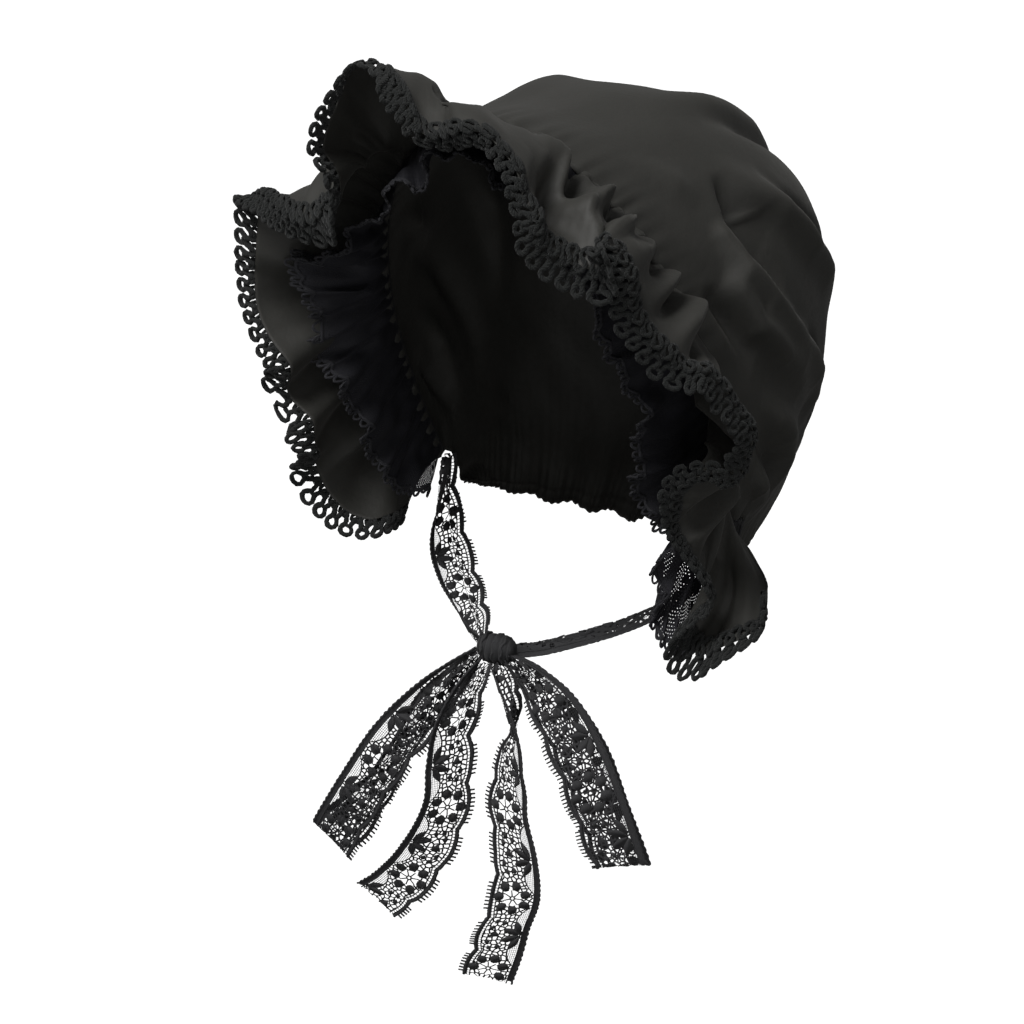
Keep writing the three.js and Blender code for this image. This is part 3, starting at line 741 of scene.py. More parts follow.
def crown_surface(columns, rows):
    """Grid of crown points, rows from the seam down to the neck."""
    u = np.linspace(0, 1, columns)
    v = np.linspace(0, 1, rows)
    along, down = [a.ravel() for a in np.meshgrid(u, v)]
    sweep = SEAM_SWEEP + (NECK_SWEEP - SEAM_SWEEP) * down
    points = plain_crown(along, sweep).reshape(rows, columns, 3)
    across_u = np.gradient(points, axis=1)
    across_v = np.gradient(points, axis=0)
    normal = unit(np.cross(across_u, across_v))
    outward = np.sign((normal * (points + [0, 0, CORNER_DROP])).sum(-1, keepdims=True))
    normal = (normal * outward).reshape(-1, 3)
    points = points.reshape(-1, 3)
    seam_mm = down * (SEAM_SWEEP - NECK_SWEEP) * CROWN_SCALE[1]
    fade = ease(down, 0, 0.10)
    lift = 1.45 * fold_height(CROWN_FOLDS, "along", "sweep", along, sweep, CROWN_SCALE) * fade
    near_neck = np.maximum(0, 1 - (1 - down) / NECK_GATHER_SPAN)
    lift += NECK_GATHER_DEPTH * near_neck**2 * np.sin(math.pi * along) * np.cos(
        2 * math.pi * NECK_GATHERS * along)
    neck_mm = (1 - down) * (SEAM_SWEEP - NECK_SWEEP) * 1.9
    fine_neck = uneven_wave(along, 58, 5) * 1.1 * np.exp(-neck_mm / 22)
    # fine puckers where the edge is drawn up at the seam
    reach = 5 + 6 * (0.5 + 0.5 * soft_noise(along * 34, along * 0, 3))
    near_seam = 1 - 0.8 * np.exp(-seam_mm / 1.6)
    pucker = uneven_wave(along, 63, 11) * 1.0 * np.exp(-seam_mm / reach) * near_seam
    long_pucker = uneven_wave(along, 29, 12) * 0.35 * np.exp(-(((seam_mm - 7) / 12) ** 2))
    # soft unevenness of worn cotton
    x_mm, y_mm = along * CROWN_SCALE[0], sweep * CROWN_SCALE[1]
    slack = 1.5 * soft_noise(x_mm / 46 + 0.3, y_mm / 60, 21) * ease(seam_mm, 5, 40)
    crease = 0.6 * soft_noise(x_mm / 15 + 0.02 * y_mm, y_mm / 34, 22) * ease(seam_mm, 8, 30)
    tuck_in = 1.5 * np.exp(-seam_mm / 1.6)
    hem = 0.5 * np.exp(-(((neck_mm - 9) / 1.2) ** 2))
    points += normal * (lift + pucker + long_pucker + fine_neck + slack + crease - tuck_in - hem)[:, None]
    return u, v, points


# ---------------------------------------------------------------- strips at the seam
FORWARD = np.array([0, -math.sin(math.radians(SEAM_SWEEP)), math.cos(math.radians(SEAM_SWEEP))])
SEAM_STEP = 4e-3
seam_along = np.linspace(0, 1, EDGE_SAMPLES + 1)


def on_seam(along):
    return plain_crown(along, np.full(len(along), float(SEAM_SWEEP)))


seam_spot = on_seam(seam_along)
seam_onward = unit(on_seam(np.minimum(seam_along + SEAM_STEP, 1)) - on_seam(np.maximum(seam_along - SEAM_STEP, 0)))
seam_outward = unit(np.cross(seam_onward, FORWARD))
seam_outward *= np.sign((seam_outward * (seam_spot + [0, 0, CORNER_DROP])).sum(1, keepdims=True))


def at_seam(values, along):
    return np.stack([np.interp(along, seam_along, values[:, i]) for i in range(3)], 1)


def leaning(onward, outward, flare, swing):
    f, s = np.radians(flare)[:, None], np.radians(swing)[:, None]
    return np.cos(s) * np.cos(f) * FORWARD + np.cos(s) * np.sin(f) * outward + np.sin(s) * onward


class GatheredStrip:
    """A strip sewn in at the seam. u is a share of its free edge, by length."""

    def __init__(self, edge, root, ahead, inset):
        self.edge, self.root, self.ahead, self.inset = edge, root, ahead, inset
        reach, flare, swing = [smooth(edge, "along", n, seam_along) for n in ("reach", "flare", "swing")]
        tips = seam_spot + leaning(seam_onward, seam_outward, flare, swing) * reach[:, None]
        self.lengths = running_lengths(tips)
        self.total = self.lengths[-1]
        weight = np.exp(-(((seam_along[:, None] - edge["along"]) / SWING_BLEND) ** 2))
        self.mean_swing = weight @ edge["swing"] / weight.sum(1)

    def along_at(self, u):
        return np.interp(u * self.total, self.lengths, seam_along)

    def reach_at(self, u):
        return smooth(self.edge, "along", "reach", self.along_at(u))

    def point_at(self, u, distance):
        along = self.along_at(u)
        reach, flare, swing = [smooth(self.edge, "along", n, along) for n in ("reach", "flare", "swing")]
        root_flare, bulge = [smooth(self.root, "along", n, along) for n in ("flare", "bulge")]
        root_swing = np.interp(along, seam_along, self.mean_swing)
        spot, onward, outward = [at_seam(a, along) for a in (seam_spot, seam_onward, seam_outward)]
        v = np.maximum(distance, 0) / reach
        behind = np.minimum(distance, 0)[:, None]
        return (
            spot
            + behind * FORWARD
            + leaning(onward, outward, root_flare, root_swing) * (bulge * reach * v * (1 - v))[:, None]
            + leaning(onward, outward, flare, swing) * (reach * v * v)[:, None]
            + FORWARD * self.ahead
            - outward * self.inset
        )

    def normal_at(self, u, distance, step_u=4e-4, step_d=0.4):
        """Unit normal on the outer side of the strip."""
        along_u = self.point_at(np.minimum(u + step_u, 1), distance) - self.point_at(np.maximum(u - step_u, 0), distance)
        along_d = self.point_at(u, distance + step_d) - self.point_at(u, distance - step_d)
        return -unit(np.cross(along_u, along_d))


class Ruffle(GatheredStrip):
    """The brim ruffle, with its gathers and puffs near the seam."""

    def lift(self, u, distance):
        along = self.along_at(u)
        behind = np.minimum(distance, 0)
        distance = np.maximum(distance, 0)
        folds = 1.4 * fold_height(RUFFLE_FOLDS, "along", "out", along, distance, RUFFLE_SCALE)
        gathers = uneven_wave(along, 63, 11, shift=0.5) * 1.6 * np.exp(behind / 0.8 - distance / 8)
        merged = uneven_wave(along, 34, 14) * 1.3 * (distance / 11) * np.exp(1 - distance / 11)
        slack = 1.1 * soft_noise(u * 46, distance / 20, 31) * ease(distance, 6, 30)
        crease = 0.5 * soft_noise(u * 120, distance / 16, 32) * ease(distance, 4, 20)
        flutter = 1.3 * uneven_wave(u, 27, 18) * ease(distance, 16, 60)
        roll = -1.2 * np.exp(-distance / 1.5) + 0.05 * behind
        return folds + gathers + merged + slack + crease + flutter + roll

    def shaped(self, u, distance, above=0.0):
        point = self.point_at(u, distance)
        return point + self.normal_at(u, distance) * (self.lift(u, distance) + above)[:, None]


ruffle = Ruffle(RUFFLE_EDGE, RUFFLE_ROOT, PIECE_GAP + 0.6, 0)
frill = GatheredStrip(FRILL_EDGE, FRILL_ROOT, PIECE_GAP, FRILL_INSET)


# ---------------------------------------------------------------- mesh making
def grid_piece(name, columns, rows, place, flat, wrap=False):
    """A sheet: a bmesh grid whose points are moved to place(u, v), given in millimetres.

    flat is the cloth's size in metres, which its UV map runs over. wrap joins the first
    and last row, which makes a tube."""
    shell = bmesh.new()
    bmesh.ops.create_grid(shell, x_segments=columns, y_segments=rows, size=0.5)
    mesh = bpy.data.meshes.new(name)
    shell.to_mesh(mesh)
    shell.free()
    count = len(mesh.vertices)
    spots = np.empty(count * 3)
    mesh.vertices.foreach_get("co", spots)
    spots = spots.reshape(-1, 3)
    u, v = np.clip(spots[:, 0] + 0.5, 0, 1), np.clip(spots[:, 1] + 0.5, 0, 1)
    corner = np.empty(len(mesh.loops), int)
    mesh.loops.foreach_get("vertex_index", corner)
    mesh.uv_layers.new(name="cloth")
    cloth = np.stack([u[corner] * flat[1], v[corner] * flat[0]], 1)
    mesh.uv_layers["cloth"].data.foreach_set("uv", cloth.ravel())
    mesh.vertices.foreach_set("co", (place(u, v) * MM).ravel())
    if wrap:
        weld(mesh)
    mesh.polygons.foreach_set("use_smooth", np.ones(len(mesh.polygons), bool))
    mesh.update()
    piece = bpy.data.objects.new(name, mesh)
    bpy.context.scene.collection.objects.link(piece)
    return piece


def weld(mesh):
    tube = bmesh.new()
    tube.from_mesh(mesh)
    bmesh.ops.remove_doubles(tube, verts=tube.verts, dist=1e-7)
    bmesh.ops.recalc_face_normals(tube, faces=tube.faces)
    tube.to_mesh(mesh)
    tube.free()


def add_wall(piece, thickness, offset=0.0):
    wall = piece.modifiers.new("wall", "SOLIDIFY")
    wall.thickness = thickness * MM
    wall.offset = offset
    wall.use_even_offset = False


def dress(piece, look):
    piece.data.materials.append(look)
    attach(piece, "root")
    return piece


# ---------------------------------------------------------------- materials
class Nodes:
    """Short calls that add shader nodes to a tree."""

    def __init__(self, tree):
        self.tree = tree

    def add(self, kind, **values):
        node = self.tree.nodes.new(kind)
        for key, value in values.items():
            setattr(node, key, value)
        return node

    def link(self, source, target):
        self.tree.links.new(source, target)

    def put(self, socket, value):
        if isinstance(value, bpy.types.NodeSocket):
            self.link(value, socket)
        else:
            socket.default_value = value

    def math(self, operation, *values):
        node = self.add("ShaderNodeMath", operation=operation)
        for socket, value in zip(node.inputs, values):
            self.put(socket, value)
        return node.outputs[0]

    def step(self, low, high, value):
        """0 below low, 1 above high, linear between."""
        node = self.add("ShaderNodeMapRange")
        node.clamp = True
        for name, v in (("Value", value), ("From Min", low), ("From Max", high)):
            self.put(node.inputs[name], v)
        return node.outputs["Result"]

    def noise(self, vector, scale, detail=2.0, rough=0.5):
        node = self.add("ShaderNodeTexNoise")
        self.put(node.inputs["Vector"], vector)
        self.put(node.inputs["Scale"], scale)
        self.put(node.inputs["Detail"], detail)
        self.put(node.inputs["Roughness"], rough)
        return node.outputs["Fac"]

    def mix(self, share, a, b):
        node = self.add("ShaderNodeMix", data_type="RGBA")
        self.put(node.inputs["Factor"], share)
        self.put(node.inputs["A"], a)
        self.put(node.inputs["B"], b)
        return node.outputs["Result"]


def group_with(name, inputs, outputs):
    """An empty shader node group with named sockets, and its two end nodes."""
    tree = bpy.data.node_groups.new(name, "ShaderNodeTree")
    for label, kind, value in inputs:
        socket = tree.interface.new_socket(label, in_out="INPUT", socket_type=kind)
        if value is not None:
            socket.default_value = value
    for label, kind in outputs:
        tree.interface.new_socket(label, in_out="OUTPUT", socket_type=kind)
    nodes = Nodes(tree)
    return tree, nodes, nodes.add("NodeGroupInput"), nodes.add("NodeGroupOutput")


def weave_group():
    """Plain weave with uneven threads: a height and how much light a place loses."""
    tree, n, given, made = group_with(
        "weave",
        [("Vector", "NodeSocketVector", None), ("Threads per Metre", "NodeSocketFloat", 2400.0),
         ("Slub", "NodeSocketFloat", 0.5)],
        [("Height", "NodeSocketFloat"), ("Shade", "NodeSocketFloat")],
    )
    split = n.add("ShaderNodeSeparateXYZ")
    n.link(given.outputs["Vector"], split.inputs[0])
    turn = n.math("MULTIPLY", given.outputs["Threads per Metre"], 2 * math.pi)
    warp = n.math("SINE", n.math("MULTIPLY", split.outputs["X"], turn))
    weft = n.math("SINE", n.math("MULTIPLY", split.outputs["Y"], turn))
    cross = n.math("MULTIPLY", warp, weft)
    slub = n.noise(given.outputs["Vector"], 900.0, 3.0, 0.6)
    patches = n.noise(given.outputs["Vector"], 90.0, 4.0, 0.6)
    height = n.math("MULTIPLY_ADD", cross, 0.25, n.math("MULTIPLY", slub, given.outputs["Slub"]))
    n.link(height, made.inputs["Height"])
    shade = n.math("ADD", n.math("MULTIPLY", slub, 0.5), n.math("MULTIPLY", patches, 0.5))
    n.link(shade, made.inputs["Shade"])
    return tree


def lint_group():
    """Sparse pale specks of lint and loose fibre, as a mask."""
    tree, n, given, made = group_with(
        "lint", [("Vector", "NodeSocketVector", None), ("Amount", "NodeSocketFloat", 0.5)],
        [("Mask", "NodeSocketFloat")],
    )
    cells = n.add("ShaderNodeTexVoronoi")
    n.link(given.outputs["Vector"], cells.inputs["Vector"])
    cells.inputs["Scale"].default_value = 140.0
    speck = n.math("LESS_THAN", cells.outputs["Distance"], 0.05)
    few = n.math("GREATER_THAN", n.noise(given.outputs["Vector"], 40.0), 0.62)
    n.link(n.math("MULTIPLY", n.math("MULTIPLY", speck, few), given.outputs["Amount"]), made.inputs["Mask"])
    return tree


def cord_group():
    """Fuzzy twisted yarn: a height and a shade."""
    tree, n, given, made = group_with(
        "yarn", [("Vector", "NodeSocketVector", None), ("Turns per Metre", "NodeSocketFloat", 900.0)],
        [("Height", "NodeSocketFloat"), ("Shade", "NodeSocketFloat")],
    )
    split = n.add("ShaderNodeSeparateXYZ")
    n.link(given.outputs["Vector"], split.inputs[0])
    lean = n.math("MULTIPLY_ADD", split.outputs["Y"], 0.6, split.outputs["X"])
    ply = n.math("SINE", n.math("MULTIPLY", lean, n.math("MULTIPLY", given.outputs["Turns per Metre"], 2 * math.pi)))
    fuzz = n.noise(given.outputs["Vector"], 2600.0, 2.0, 0.7)
    n.link(n.math("MULTIPLY_ADD", ply, 0.3, fuzz), made.inputs["Height"])
    n.link(fuzz, made.inputs["Shade"])
    return tree


WEAVE, LINT, YARN = weave_group(), lint_group(), cord_group()


def new_material(name):
    look = bpy.data.materials.new(name)
    look.use_nodes = True
    n = Nodes(look.node_tree)
    shader = look.node_tree.nodes["Principled BSDF"]
    return look, n, shader


def use_group(n, tree, **values):
    node = n.add("ShaderNodeGroup")
    node.node_tree = tree
    for key, value in values.items():
        n.put(node.inputs[key.replace("_", " ")], value)
    return node


def bump(n, shader, height, strength, distance):
    node = n.add("ShaderNodeBump")
    node.inputs["Strength"].default_value = strength
    node.inputs["Distance"].default_value = distance
    n.link(height, node.inputs["Height"])
    n.link(node.outputs["Normal"], shader.inputs["Normal"])


def cotton_look():
    look, n, shader = new_material("black_cotton")
    place = n.add("ShaderNodeTexCoord")
    cloth = n.add("ShaderNodeUVMap", uv_map="cloth")
    weave = use_group(n, WEAVE, Vector=cloth.outputs["UV"], Slub=0.6)
    lint = use_group(n, LINT, Vector=place.outputs["Object"], Amount=0.25)
    base = n.mix(weave.outputs["Shade"], (0.0085, 0.0084, 0.0074, 1), (0.0135, 0.0131, 0.0115, 1))
    n.link(n.mix(lint.outputs["Mask"], base, (0.14, 0.14, 0.13, 1)), shader.inputs["Base Color"])
    n.link(n.step(0.0, 1.0, n.math("MULTIPLY_ADD", weave.outputs["Shade"], 0.25, 0.5)), shader.inputs["Roughness"])
    shader.inputs["Specular IOR Level"].default_value = 0.16
    shader.inputs["Sheen Weight"].default_value = 0.02
    shader.inputs["Sheen Roughness"].default_value = 0.45
    shader.inputs["Sheen Tint"].default_value = (0.9, 0.88, 0.82, 1)
    crumple = n.noise(place.outputs["Object"], 260.0, 5.0, 0.55)
    height = n.math("MULTIPLY_ADD", weave.outputs["Height"], 0.25, crumple)
    bump(n, shader, height, 0.35, 0.0007)
    return look


def trim_look():
    look, n, shader = new_material("trim_cord")
    cloth = n.add("ShaderNodeUVMap", uv_map="cloth")
    yarn = use_group(n, YARN, Vector=cloth.outputs["UV"])
    base = n.mix(yarn.outputs["Shade"], (0.0013, 0.0015, 0.0014, 1), (0.0052, 0.0058, 0.0055, 1))
    n.link(base, shader.inputs["Base Color"])
    shader.inputs["Roughness"].default_value = 0.85
    shader.inputs["Specular IOR Level"].default_value = 0.12
    shader.inputs["Sheen Weight"].default_value = 0.03
    shader.inputs["Sheen Roughness"].default_value = 0.5
    bump(n, shader, yarn.outputs["Height"], 0.8, 0.0005)
    return look


def thread_look(name, dark, light):
    """Dense lace work: satin stitched dots, leaves and cords."""
    look, n, shader = new_material(name)
    place = n.add("ShaderNodeTexCoord")
    cloth = n.add("ShaderNodeUVMap", uv_map="cloth")
    stitches = n.add("ShaderNodeTexWave", bands_direction="Y")
    n.link(cloth.outputs["UV"], stitches.inputs["Vector"])
    stitches.inputs["Scale"].default_value = 700.0
    stitches.inputs["Distortion"].default_value = 3.0
    fuzz = n.noise(place.outputs["Object"], 2400.0, 2.0, 0.6)
    shade = n.math("MULTIPLY", n.math("ADD", stitches.outputs["Fac"], fuzz), 0.5)
    n.link(n.mix(shade, dark, light), shader.inputs["Base Color"])
    shader.inputs["Roughness"].default_value = 0.7
    shader.inputs["Specular IOR Level"].default_value = 0.15
    shader.inputs["Sheen Weight"].default_value = 0.02
    shader.inputs["Sheen Roughness"].default_value = 0.4
    bump(n, shader, shade, 0.6, 0.0004)
    return look


def hex_net(n, x, y, cell):
    """Distance from the walls of a net of six-sided cells, as a share of the cell."""
    across, up = n.math("DIVIDE", x, cell), n.math("DIVIDE", y, cell)
    tall = math.sqrt(3)

    def centred(px, py):
        a = n.math("SUBTRACT", n.math("FLOORED_MODULO", px, 1.0), 0.5)
        b = n.math("SUBTRACT", n.math("FLOORED_MODULO", py, tall), tall / 2)
        return a, b, n.math("ADD", n.math("MULTIPLY", a, a), n.math("MULTIPLY", b, b))

    ax, ay, aa = centred(across, up)
    bx, by, bb = centred(n.math("ADD", across, 0.5), n.math("ADD", up, tall / 2))
    nearer = n.math("LESS_THAN", aa, bb)

    def choose(p, q):
        gap = n.math("SUBTRACT", p, q)
        return n.math("ABSOLUTE", n.math("MULTIPLY_ADD", gap, nearer, q))

    hx, hy = choose(ax, bx), choose(ay, by)
    slant = n.math("ADD", n.math("MULTIPLY", hx, 0.5), n.math("MULTIPLY", hy, tall / 2))
    return n.math("SUBTRACT", 0.5, n.math("MAXIMUM", hx, slant))


# Lace ribbon, one repeat of its pattern
REPEAT = 48.0
BAND = 3.0
EDGE_BAND = 1.9
CHANNEL = 1.3
SCALLOP_DEPTH = 2.2
LENS_AT = 13.5
LENS_HALF = 9.2
LENS_TALL = 5.0
NET_CELL = 2.5
FLOWER_AT = 14.0
FLOWER_RADIUS = 7.2


def scallop_edge(s):
    """How far out the scalloped edge is at a place down the ribbon."""
    bulge = np.abs(np.cos(2 * math.pi * s / REPEAT)) ** 0.8
    return RIBBON_WIDTH - SCALLOP_DEPTH * (1 - bulge)


def lace_mask_group():
    """See-through ground of the ribbon lace: net, tulle lenses, ladder and firm edges."""
    tree, n, given, made = group_with(
        "ribbon_ground",
        [("Vector", "NodeSocketVector", None), ("Thread", "NodeSocketFloat", 0.5), ("Folded", "NodeSocketFloat", 0.0)],
        [("Mask", "NodeSocketFloat")],
    )
    still = n.add("ShaderNodeSeparateXYZ")
    n.link(given.outputs["Vector"], still.inputs[0])
    s, t = [n.math("MULTIPLY", still.outputs[i], 1000.0) for i in (0, 1)]
    thread = given.outputs["Thread"]
    cells = n.add("ShaderNodeTexVoronoi", voronoi_dimensions="2D", feature="DISTANCE_TO_EDGE")
    n.link(given.outputs["Vector"], cells.inputs["Vector"])
    cells.inputs["Scale"].default_value = 1000 / NET_CELL
    cells.inputs["Randomness"].default_value = 0.7
    net = n.math("LESS_THAN", cells.outputs["Distance"], n.math("MULTIPLY", thread, 0.5 / NET_CELL))
    # open middle of the flower, crossed by spokes between its seven dots
    from_flower = n.math("SUBTRACT", REPEAT / 2, n.math("PINGPONG", n.math("ADD", s, REPEAT / 2), REPEAT / 2))
    up = n.math("SUBTRACT", t, FLOWER_AT)
    away = n.math("SQRT", n.math("ADD", n.math("MULTIPLY", from_flower, from_flower), n.math("MULTIPLY", up, up)))
    side = n.math("MULTIPLY", n.math("SIGN", n.math("SINE", n.math("MULTIPLY", s, 2 * math.pi / REPEAT))), from_flower)
    turn = n.math("ARCTAN2", side, up)
    spoke = n.math("MULTIPLY", away, n.math("ABSOLUTE", n.math("COSINE", n.math("MULTIPLY", turn, 3.5))))
    spokes = n.math("MAXIMUM", n.math("LESS_THAN", spoke, 1.15), n.math("LESS_THAN", away, 1.5))
    eyelet = n.math("GREATER_THAN", away, 0.7)
    in_flower = n.math("LESS_THAN", away, 4.7)
    # lenses of tulle beside the firm edge, one each side of where the leaves spring from
    half = n.math("PINGPONG", s, REPEAT / 2)
    from_middle = n.math("DIVIDE", n.math("SUBTRACT", half, LENS_AT), LENS_HALF)
    arch = n.math("SUBTRACT", 1.0, n.math("MULTIPLY", from_middle, from_middle))
    lens_top = n.math("MULTIPLY_ADD", n.math("MAXIMUM", arch, 0.0), LENS_TALL, BAND)
    in_lens = n.math("LESS_THAN", t, lens_top)
    rim = n.math("LESS_THAN", n.math("ABSOLUTE", n.math("SUBTRACT", t, lens_top)), 0.42)
    lines = n.math("LESS_THAN", n.math("FLOORED_MODULO", t, 0.95), 0.24)
    rungs = n.math("LESS_THAN", n.math("FLOORED_MODULO", s, 1.2), 0.16)
    tulle = n.math("MAXIMUM", lines, rungs)
    # scalloped side
    wave = n.math("ABSOLUTE", n.math("COSINE", n.math("MULTIPLY", s, 2 * math.pi / REPEAT)))
    bulge = n.math("POWER", wave, 0.8)
    outer = n.math("MULTIPLY_ADD", bulge, SCALLOP_DEPTH, RIBBON_WIDTH - SCALLOP_DEPTH)
    from_edge = n.math("SUBTRACT", outer, t)
    firm_edge = n.math("LESS_THAN", from_edge, EDGE_BAND)
    in_channel = n.math("LESS_THAN", from_edge, EDGE_BAND + CHANNEL)
    ladder = n.math("LESS_THAN", n.math("FLOORED_MODULO", s, 1.7), 0.45)
    channel_rim = n.math("LESS_THAN", n.math("ABSOLUTE", n.math("SUBTRACT", from_edge, EDGE_BAND + CHANNEL)), 0.3)
    firm_band = n.math("LESS_THAN", t, BAND)

    def pick(inside, a, b):
        return n.math("MULTIPLY_ADD", n.math("SUBTRACT", a, b), inside, b)

    mask = pick(in_flower, n.math("MULTIPLY", spokes, eyelet), net)
    mask = pick(in_lens, tulle, mask)
    mask = pick(in_channel, ladder, mask)
    # a folded strap shows its second ply through the holes of the first
    behind = n.add("ShaderNodeTexVoronoi", voronoi_dimensions="2D", feature="DISTANCE_TO_EDGE")
    n.link(given.outputs["Vector"], behind.inputs["Vector"])
    behind.inputs["Scale"].default_value = 1000 / 3.4
    second_ply = n.math("MULTIPLY", n.math("LESS_THAN", behind.outputs["Distance"], 0.27), given.outputs["Folded"])
    for solid in (rim, channel_rim, firm_edge, firm_band, second_ply):
        mask = n.math("MAXIMUM", mask, solid)
    n.link(mask, made.inputs["Mask"])
    return tree


def frill_mask_group():
    """Dense net of the lace frill, closing up in flowers."""
    tree, n, given, made = group_with(
        "frill_ground", [("Vector", "NodeSocketVector", None), ("Thread", "NodeSocketFloat", 0.7)],
        [("Mask", "NodeSocketFloat")],
    )
    split = n.add("ShaderNodeSeparateXYZ")
    n.link(given.outputs["Vector"], split.inputs[0])
    x, y = [n.math("MULTIPLY", split.outputs[i], 1000.0) for i in (0, 1)]
    cell = 1.15
    wall = n.math("MULTIPLY", hex_net(n, x, y, cell), cell)
    net = n.math("LESS_THAN", wall, n.math("MULTIPLY", given.outputs["Thread"], 0.5))
    blots = n.add("ShaderNodeTexVoronoi")
    n.link(given.outputs["Vector"], blots.inputs["Vector"])
    blots.inputs["Scale"].default_value = 130.0
    flower = n.math("LESS_THAN", blots.outputs["Distance"], 0.42)
    n.link(n.math("MAXIMUM", net, flower), made.inputs["Mask"])
    return tree


def lace_look(name, ground, dark, light, **values):
    """Lace ground: thread colour, with the holes left clear."""
    look, n, shader = new_material(name)
    place = n.add("ShaderNodeTexCoord")
    cloth = n.add("ShaderNodeUVMap", uv_map="cloth")
    mask = use_group(n, ground, Vector=cloth.outputs["UV"], **values)
    fuzz = n.noise(place.outputs["Object"], 1500.0, 3.0, 0.6)
    n.link(n.mix(fuzz, dark, light), shader.inputs["Base Color"])
    n.link(mask.outputs["Mask"], shader.inputs["Alpha"])
    shader.inputs["Roughness"].default_value = 0.75
    shader.inputs["Specular IOR Level"].default_value = 0.12
    bump(n, shader, fuzz, 0.5, 0.0004)
    return look


COTTON = cotton_look()
TRIM = trim_look()
RIBBON_DARK, RIBBON_LIGHT = (0.0046, 0.0046, 0.0050, 1), (0.0130, 0.0130, 0.0138, 1)
FRILL_DARK, FRILL_LIGHT = (0.0034, 0.0034, 0.0044, 1), (0.0088, 0.0088, 0.0108, 1)
RIBBON_MASK = lace_mask_group()
RIBBON_GROUND = lace_look("ribbon_lace", RIBBON_MASK, RIBBON_DARK, RIBBON_LIGHT, Thread=0.85)
FOLDED_GROUND = lace_look("folded_ribbon_lace", RIBBON_MASK, RIBBON_DARK, RIBBON_LIGHT, Thread=1.0, Folded=1.0)
RIBBON_THREAD = thread_look("ribbon_thread", RIBBON_DARK, RIBBON_LIGHT)
FRILL_GROUND = lace_look("frill_lace", frill_mask_group(), FRILL_DARK, FRILL_LIGHT, Thread=0.85)
FRILL_THREAD = thread_look("frill_thread", FRILL_DARK, FRILL_LIGHT)


# ---------------------------------------------------------------- crown and ruffle
def make_crown():
    columns, rows = 300, 164
    u_at, v_at, points = crown_surface(columns + 1, rows + 1)

    def place(u, v):
        i = np.rint(u * columns).astype(int)
        j = np.rint((1 - v) * rows).astype(int)
        return points[j * (columns + 1) + i]

    crown = grid_piece("crown_cloth", columns, rows, place, (0.36, 0.52))
    dress(crown, COTTON)
    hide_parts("crown")
    return crown


HEM_AT = TRIM_WIDTH + 0.1
SEAM_TURNED = 4.0


def make_ruffle():
    def place(u, v):
        return ruffle.shaped(u, v * (ruffle.reach_at(u) - HEM_AT + SEAM_TURNED) - SEAM_TURNED)

    cloth = grid_piece("ruffle_cloth", 700, 44, place, (0.064, 0.98))
    add_wall(cloth, COTTON_WALL)
    dress(cloth, COTTON)
    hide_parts("brim_ruffle")
    return cloth


# ---------------------------------------------------------------- trim
# Centre lines of one scallop, x in pitches and y in millimetres out from the hem.
OUTER_ARCH = table("""
x y z
-0.5 2.4 0
-0.38 2.5 0.1
-0.24 3.2 0.3
-0.165 4.6 0.5
-0.17 5.9 0.4
-0.26 7.2 0.1
-0.33 8.5 0
-0.28 10.0 0
-0.14 10.9 0
0 11.1 0
0.14 10.9 0
0.28 10.0 0
0.33 8.5 0
0.26 7.2 0.1
0.17 5.9 -0.3
0.165 4.6 -0.4
0.24 3.2 -0.2
0.38 2.5 0
0.5 2.4 0
""")
INNER_ARCH = table("""
x y z
0 -0.4 0.9
0.14 0.2 0.4
0.235 1.8 -0.2
0.25 3.4 -0.5
0.28 5.0 -0.5
0.38 6.1 -0.5
0.5 6.5 -0.4
0.62 6.1 -0.5
0.72 5.0 -0.5
0.75 3.4 -0.5
0.765 1.8 -0.2
0.86 0.2 0.4
1 -0.4 0.9
""")
BASE_CURL = table("""
x y z
0 1.4 1.4
0.16 2.4 1.5
0.36 1.9 1.7
0.46 0.0 1.9
0.36 -2.0 2.0
0.14 -2.8 2.1
-0.02 -4.4 1.8
0.06 -6.6 1.5
0.32 -7.8 1.4
0.60 -7.2 1.5
0.74 -5.2 1.6
0.66 -3.2 1.6
0.78 -1.0 1.5
0.9 0.6 1.4
1 1.4 1.4
""")


def along_chart(chart, steps):
    """Points along one scallop's centre line, evenly spaced by its row numbers."""
    rows = np.arange(len(chart["x"]), dtype=float)
    at = np.linspace(0, rows[-1], steps, endpoint=False)
    chart = dict(chart, row=rows)
    return np.stack([smooth(chart, "row", name, at) for name in ("x", "y", "z")], 1)


